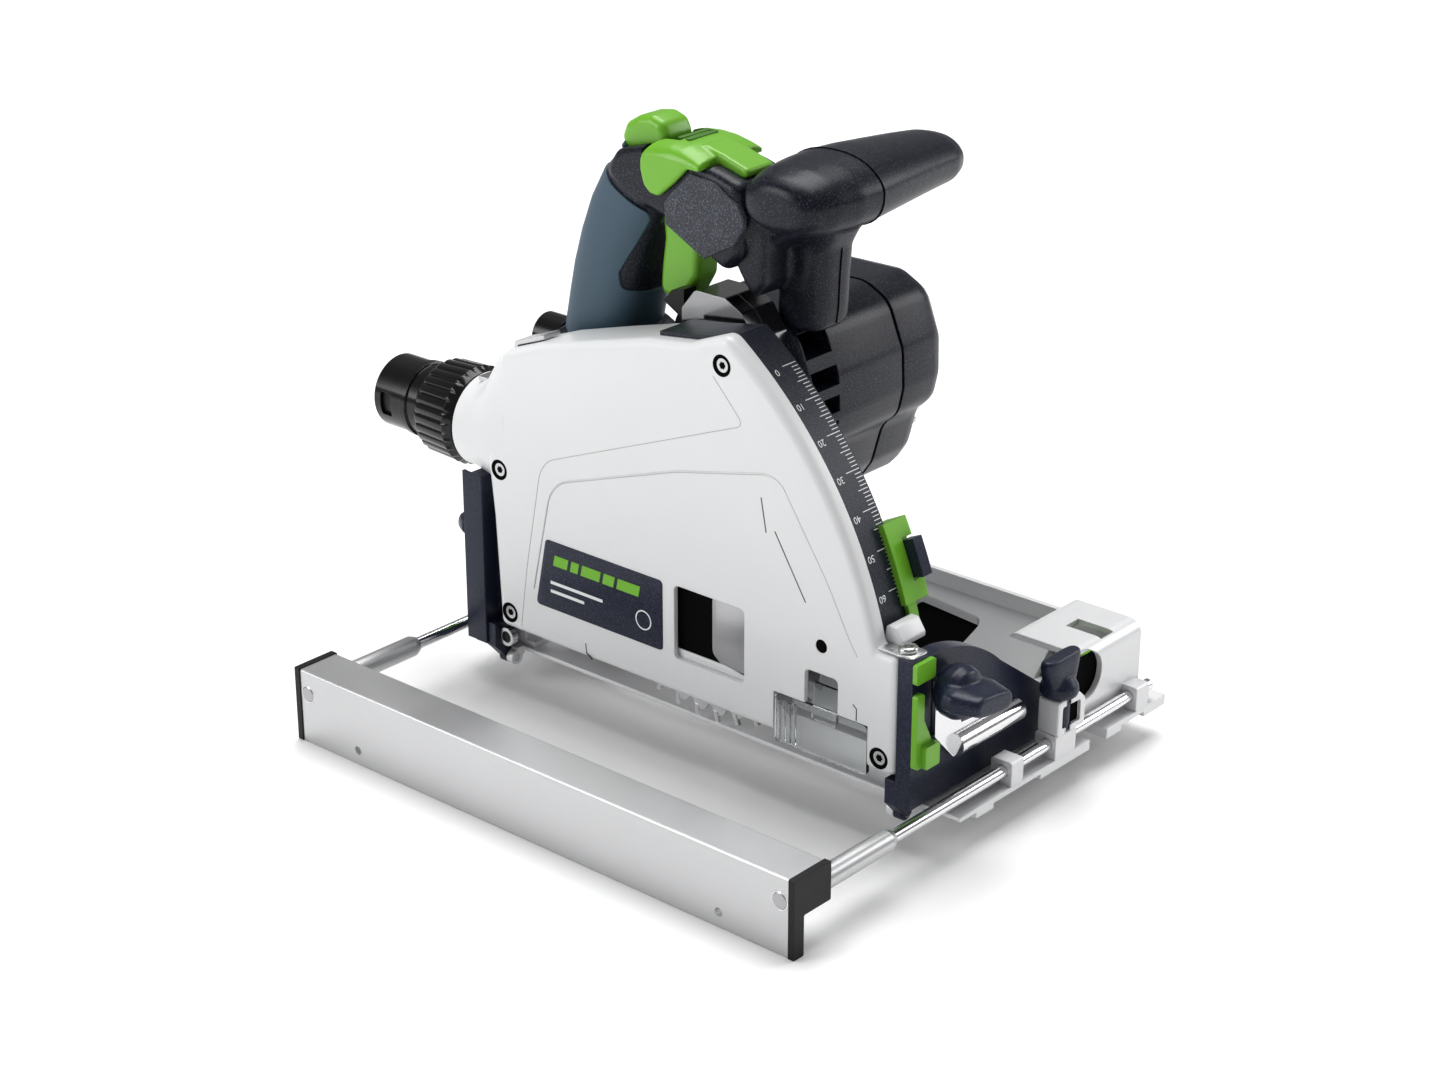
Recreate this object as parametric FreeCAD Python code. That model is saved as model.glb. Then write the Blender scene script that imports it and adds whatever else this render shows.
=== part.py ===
import FreeCAD, Part
import math
import os
from FreeCAD import Vector

# Plunge-cut track saw with a parallel side fence.
# +X is the cutting direction, +Y the motor side, +Z up. Millimetres.
# The origin is the middle of the base's sole.

# ---- base casting
BASE_LEN = 305.0
BASE_RIGHT = -80.0          # edge beside the blade
BASE_LEFT = 83.0
SOLE_T = 5.0                # height of the sole pads
WEB_T = 2.5                 # plate between the pads, flush with their tops
GROOVE_Y = 27.0             # middle of the rail groove
GROOVE_W = 14.0
GROOVE_H = 7.0
WALL_Y = 72.0               # outside of the raised left wall
WALL_H = 38.0
SLOPE_H = 30.0              # top of the slope inside the left wall
WALL_T = 3.0
HOOD_H = 45.0               # end hoods over the rail adjusters
HOOD_LEN = 42.0
HOOD_RIGHT = 22.0
CAM_AXLE_R = 3.0
CAM_R = 8.0
EDGE_STEP_Y = -68.0         # the sole is relieved to the right of this line
EDGE_STEP_Z = 3.0

# ---- side fence
FENCE_FACE_Y = -195.0
FENCE_LEN = 301.0
FENCE_TOP = 23.3
FENCE_H = 37.1
FENCE_FLANGE = 23.0
FENCE_T = 3.0
CAP_T = 3.2
FENCE_HOLE_SPACING = 224.0
FENCE_HOLE_R = 2.0
ROD_R = 3.0
ROD_X = 147.5
ROD_Z = 11.7
ROD_END_Y = 75.0
SLEEVE_R = 5.2
SLEEVE_LEN = 48.0
ROD_CLEAR = 0.08
ROD_SCREW_R = 3.0           # screw of the knob that clamps a rod
SCREW_CLEAR = 0.1

# ---- bevel hinge at the cut line
BEVEL_Y = -84.0
BEVEL_Z = 0.0
HINGE_PIN_R = 2.0
HINGE_EYE_R = 3.7
PIN_CLEAR = 0.05
SEG_X = 127.0               # inner face of the bevel segments
SEG_T = 8.0
SEG_R = 80.0                # arc rim
SLOT_R = 63.0               # arc slot for the clamp stud
STUD_R = 4.0
STUD_ANGLE = 80.0           # stud direction from the hinge, degrees
BEVEL_MAX = 47.0

# ---- blade guard
GUARD_Y = -94.3             # outer face
GUARD_WALL = 2.5
GUARD_SPLIT = -86.0         # joint between cover and frame
GUARD_LEFT = -63.8          # outer face of the frame's left wall
GUARD_R = 214.9             # front arc of the cover about the plunge pivot
FRAME_R = 209.5             # front arc of the frame, under the depth scale
SCALE_T = 2.0
GUARD_FOOT_Z = 21.0

# ---- plunge mechanism
PIVOT_X = -94.3
PIVOT_Z = 27.2
ARM = 120.4                 # plunge pivot to arbor
REST_ANGLE = 32.5
PLUNGE_MAX = 34.0
PIVOT_PIN_R = 5.0
PIVOT_BOSS_R = 11.0

# ---- blade and gear train
BLADE_R = 84.0
BLADE_T = 1.2
KERF = 1.8
BLADE_Y = -83.9
BLADE_TEETH = 42
BORE_R = 10.0
ARBOR_R = 7.0
FLANGE_R = 17.0
MODULE = 1.25
TEETH_ARBOR = 22
TEETH_IDLER = 36
TEETH_PINION = 11
GEAR_LEAN = 107.9           # direction from arbor to motor, degrees
GEAR_Y = -55.0
GEAR_W = 8.0
RUN_CLEAR = 0.04
BEARING_W = 7.0
NEAR_SEAT_Y = -77.0         # right spindle bearing
FAR_SEAT_Y = -46.5          # left spindle bearing
ROTOR_SEAT_Y = -43.5        # motor bearing in the gear case
CAP_SEAT_Y = 52.0           # motor bearing in the end cap
SPINDLE_BEARING_R = 13.0
MOTOR_BEARING_R = 11.0
MOTOR_SHAFT_R = 5.0

# ---- head: gear case, motor case, handles
CASE_RIGHT = -60.0
CASE_SPLIT = -51.0
CASE_LEFT = -38.0
CASE_WALL = 2.5
MOTOR_SPLIT = 31.0
MOTOR_END = 66.0
MOTOR_WALL = 3.0
STATOR_R = 34.0
STATOR_BORE = 18.8
ROTOR_R = 18.0
FAN_R = 32.0
HANDLE_MID = -40.0
HANDLE_W = 38.0
HANDLE_WALL = 3.0
GRIP_SKIN = 2.0
GAP = 0.4                   # clearance between parts that move past each other

LEVER_HINGE = (-4.0, 266.0)  # hinge line of the blade-change lever, X and Z
POCKET_W = 18.0             # width of the trigger and rocker pockets
FINGER_W = 16.8             # width of trigger and rocker

# ---- depth stop
STOP_ANGLE = 22.3           # where it sits on the depth band, degrees
STOP_W = 11.5

# ---- dust outlet
PORT_Y = -71.5
PORT_Z = 116.0
PORT_R = 18.5
PORT_BORE = 16.0
PORT_END_X = -207.0
COLLAR_R = 24.0
COLLAR_X = -147.0
COLLAR_LEN = 27.0

CAP_SCREWS = [(-40, 183), (14, 181), (-44, 118), (10, 116)]   # X and Z
CAP_HEAD_R = 3.0
CAP_SHANK_R = 1.6

SIDES = (1, -1)


# ------------------------------------------------------------------ helpers
def box(x, y, z):
    """Box between pairs of bounds."""
    return Part.makeBox(x[1] - x[0], y[1] - y[0], z[1] - z[0], Vector(x[0], y[0], z[0]))


def cyl(axis, r, span, at):
    """Cylinder along X, Y or Z; `at` holds the two other coordinates in order."""
    low, high = span
    if axis == "X":
        return Part.makeCylinder(r, high - low, Vector(low, at[0], at[1]), Vector(1, 0, 0))
    if axis == "Y":
        return Part.makeCylinder(r, high - low, Vector(at[0], low, at[1]), Vector(0, 1, 0))
    return Part.makeCylinder(r, high - low, Vector(at[0], at[1], low), Vector(0, 0, 1))


def ring(axis, r_out, r_in, span, at):
    """Hollow cylinder."""
    over = (span[0] - 1, span[1] + 1)
    return cyl(axis, r_out, span, at).cut(cyl(axis, r_in, over, at))


def lift(plane, point, depth):
    """Place a 2D point in a plane at a depth along the plane's normal axis."""
    a, b = point
    if plane == "XZ":
        return Vector(a, depth, b)
    if plane == "YZ":
        return Vector(depth, a, b)
    return Vector(a, b, depth)


def outline(plane, corners, depth, radius=0.0):
    """Closed wire through the corners, each one rounded by up to the radius."""
    pts = [lift(plane, c, depth) for c in corners]
    if radius <= 0:
        return Part.makePolygon(pts + [pts[0]])
    edges = []
    starts, ends, mids = [], [], []
    n = len(pts)
    for i in range(n):
        p, q, r = pts[i - 1], pts[i], pts[(i + 1) % n]
        u, v = (p - q), (r - q)
        lu, lv = u.Length, v.Length
        u.normalize()
        v.normalize()
        half = 0.5 * u.getAngle(v)
        back = min(radius / math.tan(half), 0.45 * lu, 0.45 * lv)
        rr = back * math.tan(half)
        bis = u + v
        bis.normalize()
        starts.append(q + u * back)
        ends.append(q + v * back)
        mids.append(q + bis * (rr / math.sin(half) - rr))
    for i in range(n):
        edges.append(Part.Arc(starts[i], mids[i], ends[i]).toShape())
        edges.append(Part.LineSegment(ends[i], starts[(i + 1) % n]).toShape())
    return Part.Wire(edges)


def prism(plane, corners, span, radius=0.0):
    """Solid of an outline between two depths along the plane's normal axis."""
    face = Part.Face(outline(plane, corners, span[0], radius))
    normal = {"XZ": Vector(0, 1, 0), "YZ": Vector(1, 0, 0), "XY": Vector(0, 0, 1)}[plane]
    return face.extrude(normal * (span[1] - span[0]))


def link(c1, r1, c2, r2, span):
    """Two round ends joined by their common tangents, extruded along Y."""
    dx, dz = c2[0] - c1[0], c2[1] - c1[1]
    dist = math.hypot(dx, dz)
    turn = math.acos((r1 - r2) / dist)
    lean = math.atan2(dz, dx)
    quad = []
    for (c, r), s in (((c1, r1), 1), ((c2, r2), 1), ((c2, r2), -1), ((c1, r1), -1)):
        a = lean + s * turn
        quad.append((c[0] + r * math.cos(a), c[1] + r * math.sin(a)))
    body = prism("XZ", quad, span)
    return body.fuse([cyl("Y", r1, span, c1), cyl("Y", r2, span, c2)]).removeSplitter()


def polar(centre, r, degrees):
    """Point at a radius and an angle from a centre."""
    a = math.radians(degrees)
    return (centre[0] + r * math.cos(a), centre[1] + r * math.sin(a))


def sector(plane, centre, r_in, r_out, a0, a1, span):
    """Ring sector between two angles (degrees), extruded along the normal axis."""
    am = 0.5 * (a0 + a1)
    def at(r, a):
        return lift(plane, polar(centre, r, a), span[0])
    edges = [
        Part.Arc(at(r_out, a0), at(r_out, am), at(r_out, a1)).toShape(),
        Part.LineSegment(at(r_out, a1), at(r_in, a1)).toShape(),
        Part.Arc(at(r_in, a1), at(r_in, am), at(r_in, a0)).toShape(),
        Part.LineSegment(at(r_in, a0), at(r_out, a0)).toShape(),
    ]
    normal = {"XZ": Vector(0, 1, 0), "YZ": Vector(1, 0, 0)}[plane]
    return Part.Face(Part.Wire(edges)).extrude(normal * (span[1] - span[0]))


def union(shapes):
    """Fuse a list of solids and drop the seams between flush faces."""
    return shapes[0].fuse(shapes[1:]).removeSplitter()


def soften(shape, radius, pick):
    """Fillet the edges that `pick` chooses."""
    return shape.makeFillet(radius, [e for e in shape.Edges if pick(e)])


def along(axis):
    """Edge test: straight and parallel to an axis."""
    unit = {"X": Vector(1, 0, 0), "Y": Vector(0, 1, 0), "Z": Vector(0, 0, 1)}[axis]
    def test(e):
        if not isinstance(e.Curve, Part.Line):
            return False
        return abs(e.tangentAt(e.FirstParameter).dot(unit)) > 0.999
    return test


def mirror_x(shape):
    """The same piece at the other end of the saw."""
    return shape.mirror(Vector(0, 0, 0), Vector(1, 0, 0))


# ------------------------------------------------------------ derived places
PIVOT = (PIVOT_X, PIVOT_Z)
ARBOR = polar(PIVOT, ARM, REST_ANGLE)
R_ARBOR = MODULE * TEETH_ARBOR / 2
R_IDLER = MODULE * TEETH_IDLER / 2
R_PINION = MODULE * TEETH_PINION / 2
IDLER = polar(ARBOR, R_ARBOR + R_IDLER, GEAR_LEAN)
MOTOR = polar(ARBOR, R_ARBOR + 2 * R_IDLER + R_PINION, GEAR_LEAN)
HINGE = (BEVEL_Y, BEVEL_Z)
STUD = polar(HINGE, SLOT_R, STUD_ANGLE)
HALF = BASE_LEN / 2
CAM_AT = (ROD_X - 22, GROOVE_Y + 18)    # rail adjuster, X and Y
SEG_FRONT = SEG_X + SEG_T
NOSE_Y = BLADE_Y + BLADE_T / 2          # blade face against the inner flange
BLADE_OUT = BLADE_Y - BLADE_T / 2       # blade face under the outer flange
EAR_X = (117.0, 121.0)                  # hinge ears of the base
EYE_X = (EAR_X[1] + 0.3, EAR_X[1] + 4.7)  # hinge eye of the guard
HANDLE_R = HANDLE_MID - HANDLE_W / 2
HANDLE_L = HANDLE_MID + HANDLE_W / 2
STOP_Y = (GUARD_LEFT + GAP, GUARD_LEFT + STOP_W)

HANDLE_LINE = [(-117, 146), (-107, 186), (-99, 214), (-85, 240), (-68, 262), (-52, 270),
               (-30, 275), (-6, 268), (6, 262), (6, 224), (-6, 218), (-34, 233),
               (-51, 238), (-57, 220), (-63, 194), (-66, 172), (-58, 163), (-57, 146)]
MOTOR_LINE = [(-52, 182), (-40, 193), (7, 194), (21, 187), (30, 165), (31, 146), (28, 132),
              (19, 125), (13, 104), (6, 94), (-17, 80), (-40, 86), (-50, 104), (-56, 130),
              (-56, 165)]
GUARD_TOP = [(27, 202.9), (5, 195), (-20, 191.5), (-54, 182.3), (-88, 172.5), (-113, 163)]
GUARD_REAR = [(-125, 115.5), (-121, 78.4), (-118, GUARD_FOOT_Z)]
FRAME_REAR_X = -114.0
FRAME_REAR = [(-122, 115.5), (FRAME_REAR_X, 80), (FRAME_REAR_X, GUARD_FOOT_Z)]


# ---------------------------------------------------------------------- base
def base_plate():
    """Die-cast base: sole pads, rail groove, raised left side, end hoods, rod guides."""
    x = (-HALF, HALF)
    past = (-HALF - 1, HALF + 1)
    g0, g1 = GROOVE_Y - GROOVE_W / 2, GROOVE_Y + GROOVE_W / 2
    wall_x = ROD_X - ROD_R - 0.6
    deck = box(x, (BASE_RIGHT, BASE_LEFT), (SOLE_T - WEB_T, SOLE_T))
    pads = [box(x, y, (0, SOLE_T)) for y in
            ((BASE_RIGHT, -55), (-19, g0), (g1, 46), (65, BASE_LEFT))]
    tunnel = box(x, (g0 - WEB_T, g1 + WEB_T), (0, GROOVE_H + WEB_T))
    slope = prism("YZ", [(40, SOLE_T - WEB_T), (44, SOLE_T - WEB_T), (WALL_Y, SLOPE_H - 4),
                         (WALL_Y, SLOPE_H), (WALL_Y - WALL_T, SLOPE_H)], x)
    wall = box(x, (WALL_Y - WALL_T, WALL_Y), (0, WALL_H))
    body = union([deck, tunnel, slope, wall] + pads)
    shelf = box((wall_x, HALF + 1), (BASE_RIGHT - 1, BASE_LEFT + 1), (SOLE_T, WALL_H + 1))
    room = box((wall_x - HOOD_LEN - 1, wall_x - WALL_T),
               (HOOD_RIGHT - 1, WALL_Y - WALL_T), (GROOVE_H + WEB_T, HOOD_H - WALL_T))
    body = cut_windows(body)
    body = body.cut(box(past, (BASE_RIGHT - 1, EDGE_STEP_Y), (-1, EDGE_STEP_Z)))
    front = [hood_shell(wall_x).cut(room), hinge_ear()] + rod_guides(wall_x)
    for at_end in (lambda shape: shape, mirror_x):
        body = body.cut(union([at_end(shelf), at_end(room)]))
        body = body.fuse([at_end(piece) for piece in front])
        body = body.cut(union([at_end(hole) for hole in base_bores()]))
    body = body.cut(box(past, (g0, g1), (-1, GROOVE_H)))
    return body.removeSplitter()


def base_bores():
    """Bores of the base's front end: fence rod, its screw, rail adjuster, hinge pin."""
    return [
        cyl("Y", ROD_R + ROD_CLEAR, (-100, 100), (ROD_X, ROD_Z)),
        cyl("Z", ROD_SCREW_R + SCREW_CLEAR, (ROD_Z, 40), (ROD_X, 0)),
        cyl("Z", CAM_AXLE_R + PIN_CLEAR, (GROOVE_H + WEB_T - 3.2, 20), CAM_AT),
        cyl("X", HINGE_PIN_R, (EAR_X[0] - 1, EAR_X[1] + 1), HINGE),
    ]


def hood_shell(wall_x):
    """Outside of the end hood, with its slot and its open right corner."""
    x = (wall_x - HOOD_LEN, wall_x)
    hood = box(x, (HOOD_RIGHT, WALL_Y), (SOLE_T - 1, HOOD_H))
    hood = soften(hood, 7.0, lambda e: along("Y")(e) and e.BoundBox.ZMin > HOOD_H - 1)
    slot = box((x[1] - 24, x[1] - 4), (44, 54), (HOOD_H - WALL_T - 1, HOOD_H + 1))
    mouth = cyl("X", 12.0, (x[1] - WALL_T - 1, x[1] + 1), (HOOD_RIGHT + 6, HOOD_H - 13))
    return hood.cut(slot).cut(mouth)


def cut_windows(body):
    """Openings that lighten the base beside the head and in the slope."""
    body = body.cut(box((-95, 95), (-48, -26), (-1, SOLE_T + 1)))
    for x0, x1 in ((12, 60), (-62, -22)):
        corners = [(x0, 46), (x1 - 8, 43), (x1, 62), (x0 + 8, 64)]
        body = body.cut(prism("XY", corners, (-1, WALL_H + 2), 3.0))
    return body


def rod_guides(wall_x):
    """Bored blocks that the fence rods slide through, one end of the base."""
    span_x = (wall_x - 3, HALF)
    out = []
    for y in ((-42, -33), (-8, 8), (58, 68)):
        block = box(span_x, y, (SOLE_T - 1, ROD_Z + ROD_R + 2.4))
        out.append(soften(block, 1.5, along("Y")))
    return out


def hinge_ear():
    """Eye of the bevel hinge on the base's right edge."""
    eye = cyl("X", HINGE_EYE_R, EAR_X, HINGE)
    root = box(EAR_X, (BEVEL_Y, BASE_RIGHT + 1), (0.5, SOLE_T))
    return eye.fuse(root)


def bevel_pivot_pins():
    """Hinge pins at the cut line, pressed into the base's ears."""
    pin = cyl("X", HINGE_PIN_R, (EAR_X[0], EYE_X[1] + 0.6), HINGE)
    return Part.makeCompound([pin, mirror_x(pin)])


def bevel_posts():
    """Cast posts that carry the clamp studs, one at each end."""
    y0, y1 = STUD[0] - 5, STUD[0] + 14
    span_x = (SEG_X - 10.5, SEG_X - 1.0)
    post = prism("YZ", [(y0, SOLE_T), (y1 + 8, SOLE_T), (y1 + 8, 12), (y1, 30),
                        (y1 - 4, STUD[1] + 8), (y0, STUD[1] + 8)], span_x)
    foot = box((span_x[0] - 6, span_x[1]), (y0, y1 + 8), (SOLE_T, SOLE_T + 3))
    post = post.fuse(foot).removeSplitter()
    post = post.cut(cyl("X", STUD_R, (span_x[0] - 1, span_x[1] + 1), STUD))
    return Part.makeCompound([post, mirror_x(post)])


def clamp_studs():
    """Threaded studs of the bevel clamp."""
    stud = cyl("X", STUD_R, (SEG_X - 10.5, SEG_FRONT + 11), STUD)
    return Part.makeCompound([stud, mirror_x(stud)])


def stop_bars():
    """Polished half-round shoes that the clamp studs press on the segments."""
    x0 = SEG_FRONT + GAP
    plate = prism("YZ", [(STUD[0] - 7, 40), (STUD[0] - 7, STUD[1] + 6), (STUD[0] + 8, STUD[1] + 6),
                         (STUD[0] + 12, 40), (-18, 36), (-18, 25), (STUD[0] + 7, 25)],
                  (x0, x0 + 2), 2.0)
    bar = cyl("Y", 5.5, (STUD[0] + 8, -18), (x0 + 1.5, 30.5))
    bar = bar.cut(box((x0 - 10, x0), (-200, 100), (0, 60)))
    shoe = plate.fuse(bar).removeSplitter()
    shoe = shoe.cut(cyl("X", STUD_R, (x0 - 1, x0 + 12), STUD))
    return Part.makeCompound([shoe, mirror_x(shoe)])


def wing_knob(height, r_hub, r_hole):
    """Wing knob with its axis on +Z and its base at z = 0."""
    hub = Part.makeCone(r_hub, r_hub - 3, height * 0.45)
    wing = prism("XZ", [(-r_hub - 3, height * 0.25), (r_hub + 3, height * 0.25),
                        (r_hub + 1, height), (-r_hub - 1, height)], (-4, 4), 3.0)
    knob = hub.fuse(wing).removeSplitter()
    if r_hole > 0:
        knob = knob.cut(cyl("Z", r_hole, (-1, height * 0.35), (0, 0)))
    return knob


def placed(shape, position, axis, angle):
    """Copy of a shape turned about an axis through the origin, then moved."""
    out = shape.copy()
    out.rotate(Vector(0, 0, 0), axis, angle)
    out.translate(position)
    return out


def bevel_knob(s):
    """Clamp knob on the bevel stud, with its wing pointing away from the saw."""
    knob = wing_knob(26, 13, STUD_R + PIN_CLEAR)
    knob.rotate(Vector(0, 0, 0), Vector(0, 0, 1), 68)
    x0 = SEG_FRONT + GAP + 2 + 0.3
    return placed(knob, Vector(s * x0, STUD[0], STUD[1]), Vector(0, 1, 0), 90 * s)


def rod_knob(s):
    """Clamp knob over a fence rod, with its screw moulded in."""
    knob = wing_knob(22, 9, 0)
    seat = 43.0
    over_block = ROD_Z + ROD_R + 2.4 + GAP
    screw = cyl("Z", ROD_SCREW_R, (ROD_Z + ROD_R + GAP, seat + 4), (s * ROD_X, 0))
    collar = cyl("Z", 5.5, (over_block, seat + 0.5), (s * ROD_X, 0))
    turned = placed(knob, Vector(s * ROD_X, 0, seat), Vector(0, 0, 1), 90)
    return union([turned, screw, collar])


def rail_cam(s):
    """Green adjuster that takes up the play on the guide rail, with a knurled drum."""
    centre = (s * CAM_AT[0], CAM_AT[1])
    floor = GROOVE_H + WEB_T
    drum = cyl("Z", CAM_R, (floor + GAP, 34), centre)
    drum = drum.fuse(cyl("Z", CAM_AXLE_R, (floor - 3, floor + GAP + 1), centre))
    flutes = [cyl("Z", 0.8, (0, 40), polar(centre, CAM_R + 0.2, 22.5 * i)) for i in range(16)]
    return drum.cut(union(flutes))


# --------------------------------------------------------------------- fence
def fence_bar():
    """Angle profile: the face guides along the workpiece, rods enter under the flange."""
    x = (-FENCE_LEN / 2, FENCE_LEN / 2)
    low = FENCE_TOP - FENCE_H
    face = box(x, (FENCE_FACE_Y, FENCE_FACE_Y + FENCE_T), (low, FENCE_TOP))
    flange = box(x, (FENCE_FACE_Y, FENCE_FACE_Y + FENCE_FLANGE),
                 (FENCE_TOP - FENCE_T, FENCE_TOP))
    body = face.fuse(flange).removeSplitter()
    body = soften(body, 0.8, lambda e: along("X")(e) and e.BoundBox.ZMin > FENCE_TOP - 0.1)
    for s in SIDES:
        body = body.cut(cyl("Y", ROD_R + 1.5, (FENCE_FACE_Y - 1, FENCE_FACE_Y + 5),
                            (s * (ROD_X - 2), ROD_Z)))
        body = body.cut(cyl("Y", FENCE_HOLE_R, (FENCE_FACE_Y - 1, FENCE_FACE_Y + 5),
                            (s * FENCE_HOLE_SPACING / 2, FENCE_TOP - 30)))
    return body


def fence_end_caps():
    """Moulded caps on both ends of the profile."""
    x = (FENCE_LEN / 2, FENCE_LEN / 2 + CAP_T)
    low = FENCE_TOP - FENCE_H
    wide = FENCE_FACE_Y + FENCE_FLANGE
    cap = prism("YZ", [(FENCE_FACE_Y - 0.5, low - 0.5), (FENCE_FACE_Y + 6, low - 0.5),
                       (FENCE_FACE_Y + 6, FENCE_TOP - 18), (wide + 0.5, FENCE_TOP - 18),
                       (wide + 0.5, FENCE_TOP + 0.5), (FENCE_FACE_Y - 0.5, FENCE_TOP + 0.5)],
                x, 0.8)
    return Part.makeCompound([cap, mirror_x(cap)])


def guide_rods():
    """Steel rods with their turned ends set flush in the profile's face."""
    out = []
    for s in SIDES:
        rod = cyl("Y", ROD_R, (FENCE_FACE_Y + FENCE_T, ROD_END_Y), (s * ROD_X, ROD_Z))
        head = cyl("Y", ROD_R + 1.5, (FENCE_FACE_Y, FENCE_FACE_Y + FENCE_T),
                   (s * (ROD_X - 2), ROD_Z))
        out.append(rod.fuse(head).removeSplitter())
    return Part.makeCompound(out)


def rod_sleeves():
    """Sleeves that stiffen the rods behind the fence."""
    y0 = FENCE_FACE_Y + FENCE_FLANGE + 0.5
    span = (y0, y0 + SLEEVE_LEN)
    out = []
    for s in SIDES:
        sleeve = cyl("Y", SLEEVE_R, (span[0], span[1] - 3), (s * ROD_X, ROD_Z))
        nose = Part.makeCone(SLEEVE_R, SLEEVE_R - 1.2, 3,
                             Vector(s * ROD_X, span[1] - 3, ROD_Z), Vector(0, 1, 0))
        sleeve = sleeve.fuse(nose)
        out.append(sleeve.cut(cyl("Y", ROD_R, (span[0] - 1, span[1] + 1), (s * ROD_X, ROD_Z))))
    return Part.makeCompound(out)


# --------------------------------------------------------------------- guard
def guard_face(radius, inset, span, front=True):
    """Side outline of the guard as a solid, inset from the outer shape."""
    toe = SEG_X - 0.2 + inset
    shoulder = 79.0 - inset
    rear = [(p[0] + inset, p[1]) for p in (GUARD_REAR if front else FRAME_REAR)]
    rear[-1] = (rear[-1][0], GUARD_FOOT_Z - (40 if inset else 0))
    top = [(p[0], p[1] - inset) for p in GUARD_TOP]
    foot = rear[-1][1]
    r = radius - inset
    if front:
        a0 = math.degrees(math.asin((shoulder - PIVOT_Z) / r))
        start = [(toe, foot), (toe, shoulder)]
    else:
        a0 = math.degrees(math.asin((foot - PIVOT_Z) / r))
        start = []
    p0 = polar(PIVOT, r, a0)
    a1 = math.degrees(math.atan2(top[0][1] - PIVOT_Z, top[0][0] - PIVOT_X))
    p1 = polar(PIVOT, r, a1)
    pm = polar(PIVOT, r, 0.5 * (a0 + a1))
    chain = start + [p0]
    edges = []
    for a, b in zip(chain[:-1], chain[1:]):
        edges.append(Part.LineSegment(lift("XZ", a, span[0]), lift("XZ", b, span[0])).toShape())
    edges.append(Part.Arc(*[lift("XZ", p, span[0]) for p in (p0, pm, p1)]).toShape())
    tail = [p1] + top[1:] + rear + [chain[0]]
    for a, b in zip(tail[:-1], tail[1:]):
        edges.append(Part.LineSegment(lift("XZ", a, span[0]), lift("XZ", b, span[0])).toShape())
    face = Part.Face(Part.Wire(edges))
    return face.extrude(Vector(0, span[1] - span[0], 0))


def screw_spots():
    """Where the guard screws sit in the cover, X and Z."""
    return [(26, 190), (-115, 103.6), (-110.6, 30), (117.5, 28.4)]


def guard_cover():
    """Outer cover of the blade guard, with its viewing window."""
    shell = guard_face(GUARD_R, 0, (GUARD_Y, GUARD_SPLIT))
    room = guard_face(GUARD_R, GUARD_WALL, (GUARD_Y + GUARD_WALL, GUARD_SPLIT + 1))
    keep = [cyl("Y", 6.0, (GUARD_Y, GUARD_SPLIT), p) for p in screw_spots()]
    body = shell.cut(room).fuse([k.common(shell) for k in keep])
    body = soften(body, 1.6, lambda e: abs(e.BoundBox.YMin - GUARD_Y) < 0.01
                  and abs(e.BoundBox.YMax - GUARD_Y) < 0.01)
    window = prism("XZ", [(-3, 39.5), (39.5, 39.5), (39.5, 76.5), (-3, 76.5)],
                   (GUARD_Y - 1, GUARD_Y + GUARD_WALL + 1), 3.0)
    notch = box((57, 111), (GUARD_Y - 1, GUARD_SPLIT + 1), (0, 42))
    recess = prism("XZ", [(75, 40), (75, 56), (79, 60), (90, 60), (94, 56), (94, 40)],
                   (GUARD_Y - 1, GUARD_SPLIT + 1))
    body = body.cut(window).cut(notch).cut(recess)
    body = body.cut(cyl("Y", 3.2, (GUARD_Y - 1, GUARD_Y + 4), (84.3, 72.6)))
    for p in screw_spots():
        body = body.cut(cyl("Y", 4.9, (GUARD_Y - 1, GUARD_Y + 3.0), p))
        body = body.cut(cyl("Y", 2.0, (GUARD_Y, GUARD_SPLIT + 1), p))
    return body.removeSplitter()


def arbor_slot(span, half_width):
    """Curved slot that the arbor boss travels in, open at the foot."""
    ends = (REST_ANGLE, REST_ANGLE - PLUNGE_MAX - 1.0)
    band = sector("XZ", PIVOT, ARM - half_width, ARM + half_width, ends[1], ends[0], span)
    caps = [cyl("Y", half_width, span, polar(PIVOT, ARM, a)) for a in ends]
    low = polar(PIVOT, ARM, ends[1])
    foot = box((low[0] - half_width, low[0] + half_width), span, (low[1] - 40, low[1]))
    return union([band] + caps + [foot])


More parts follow.
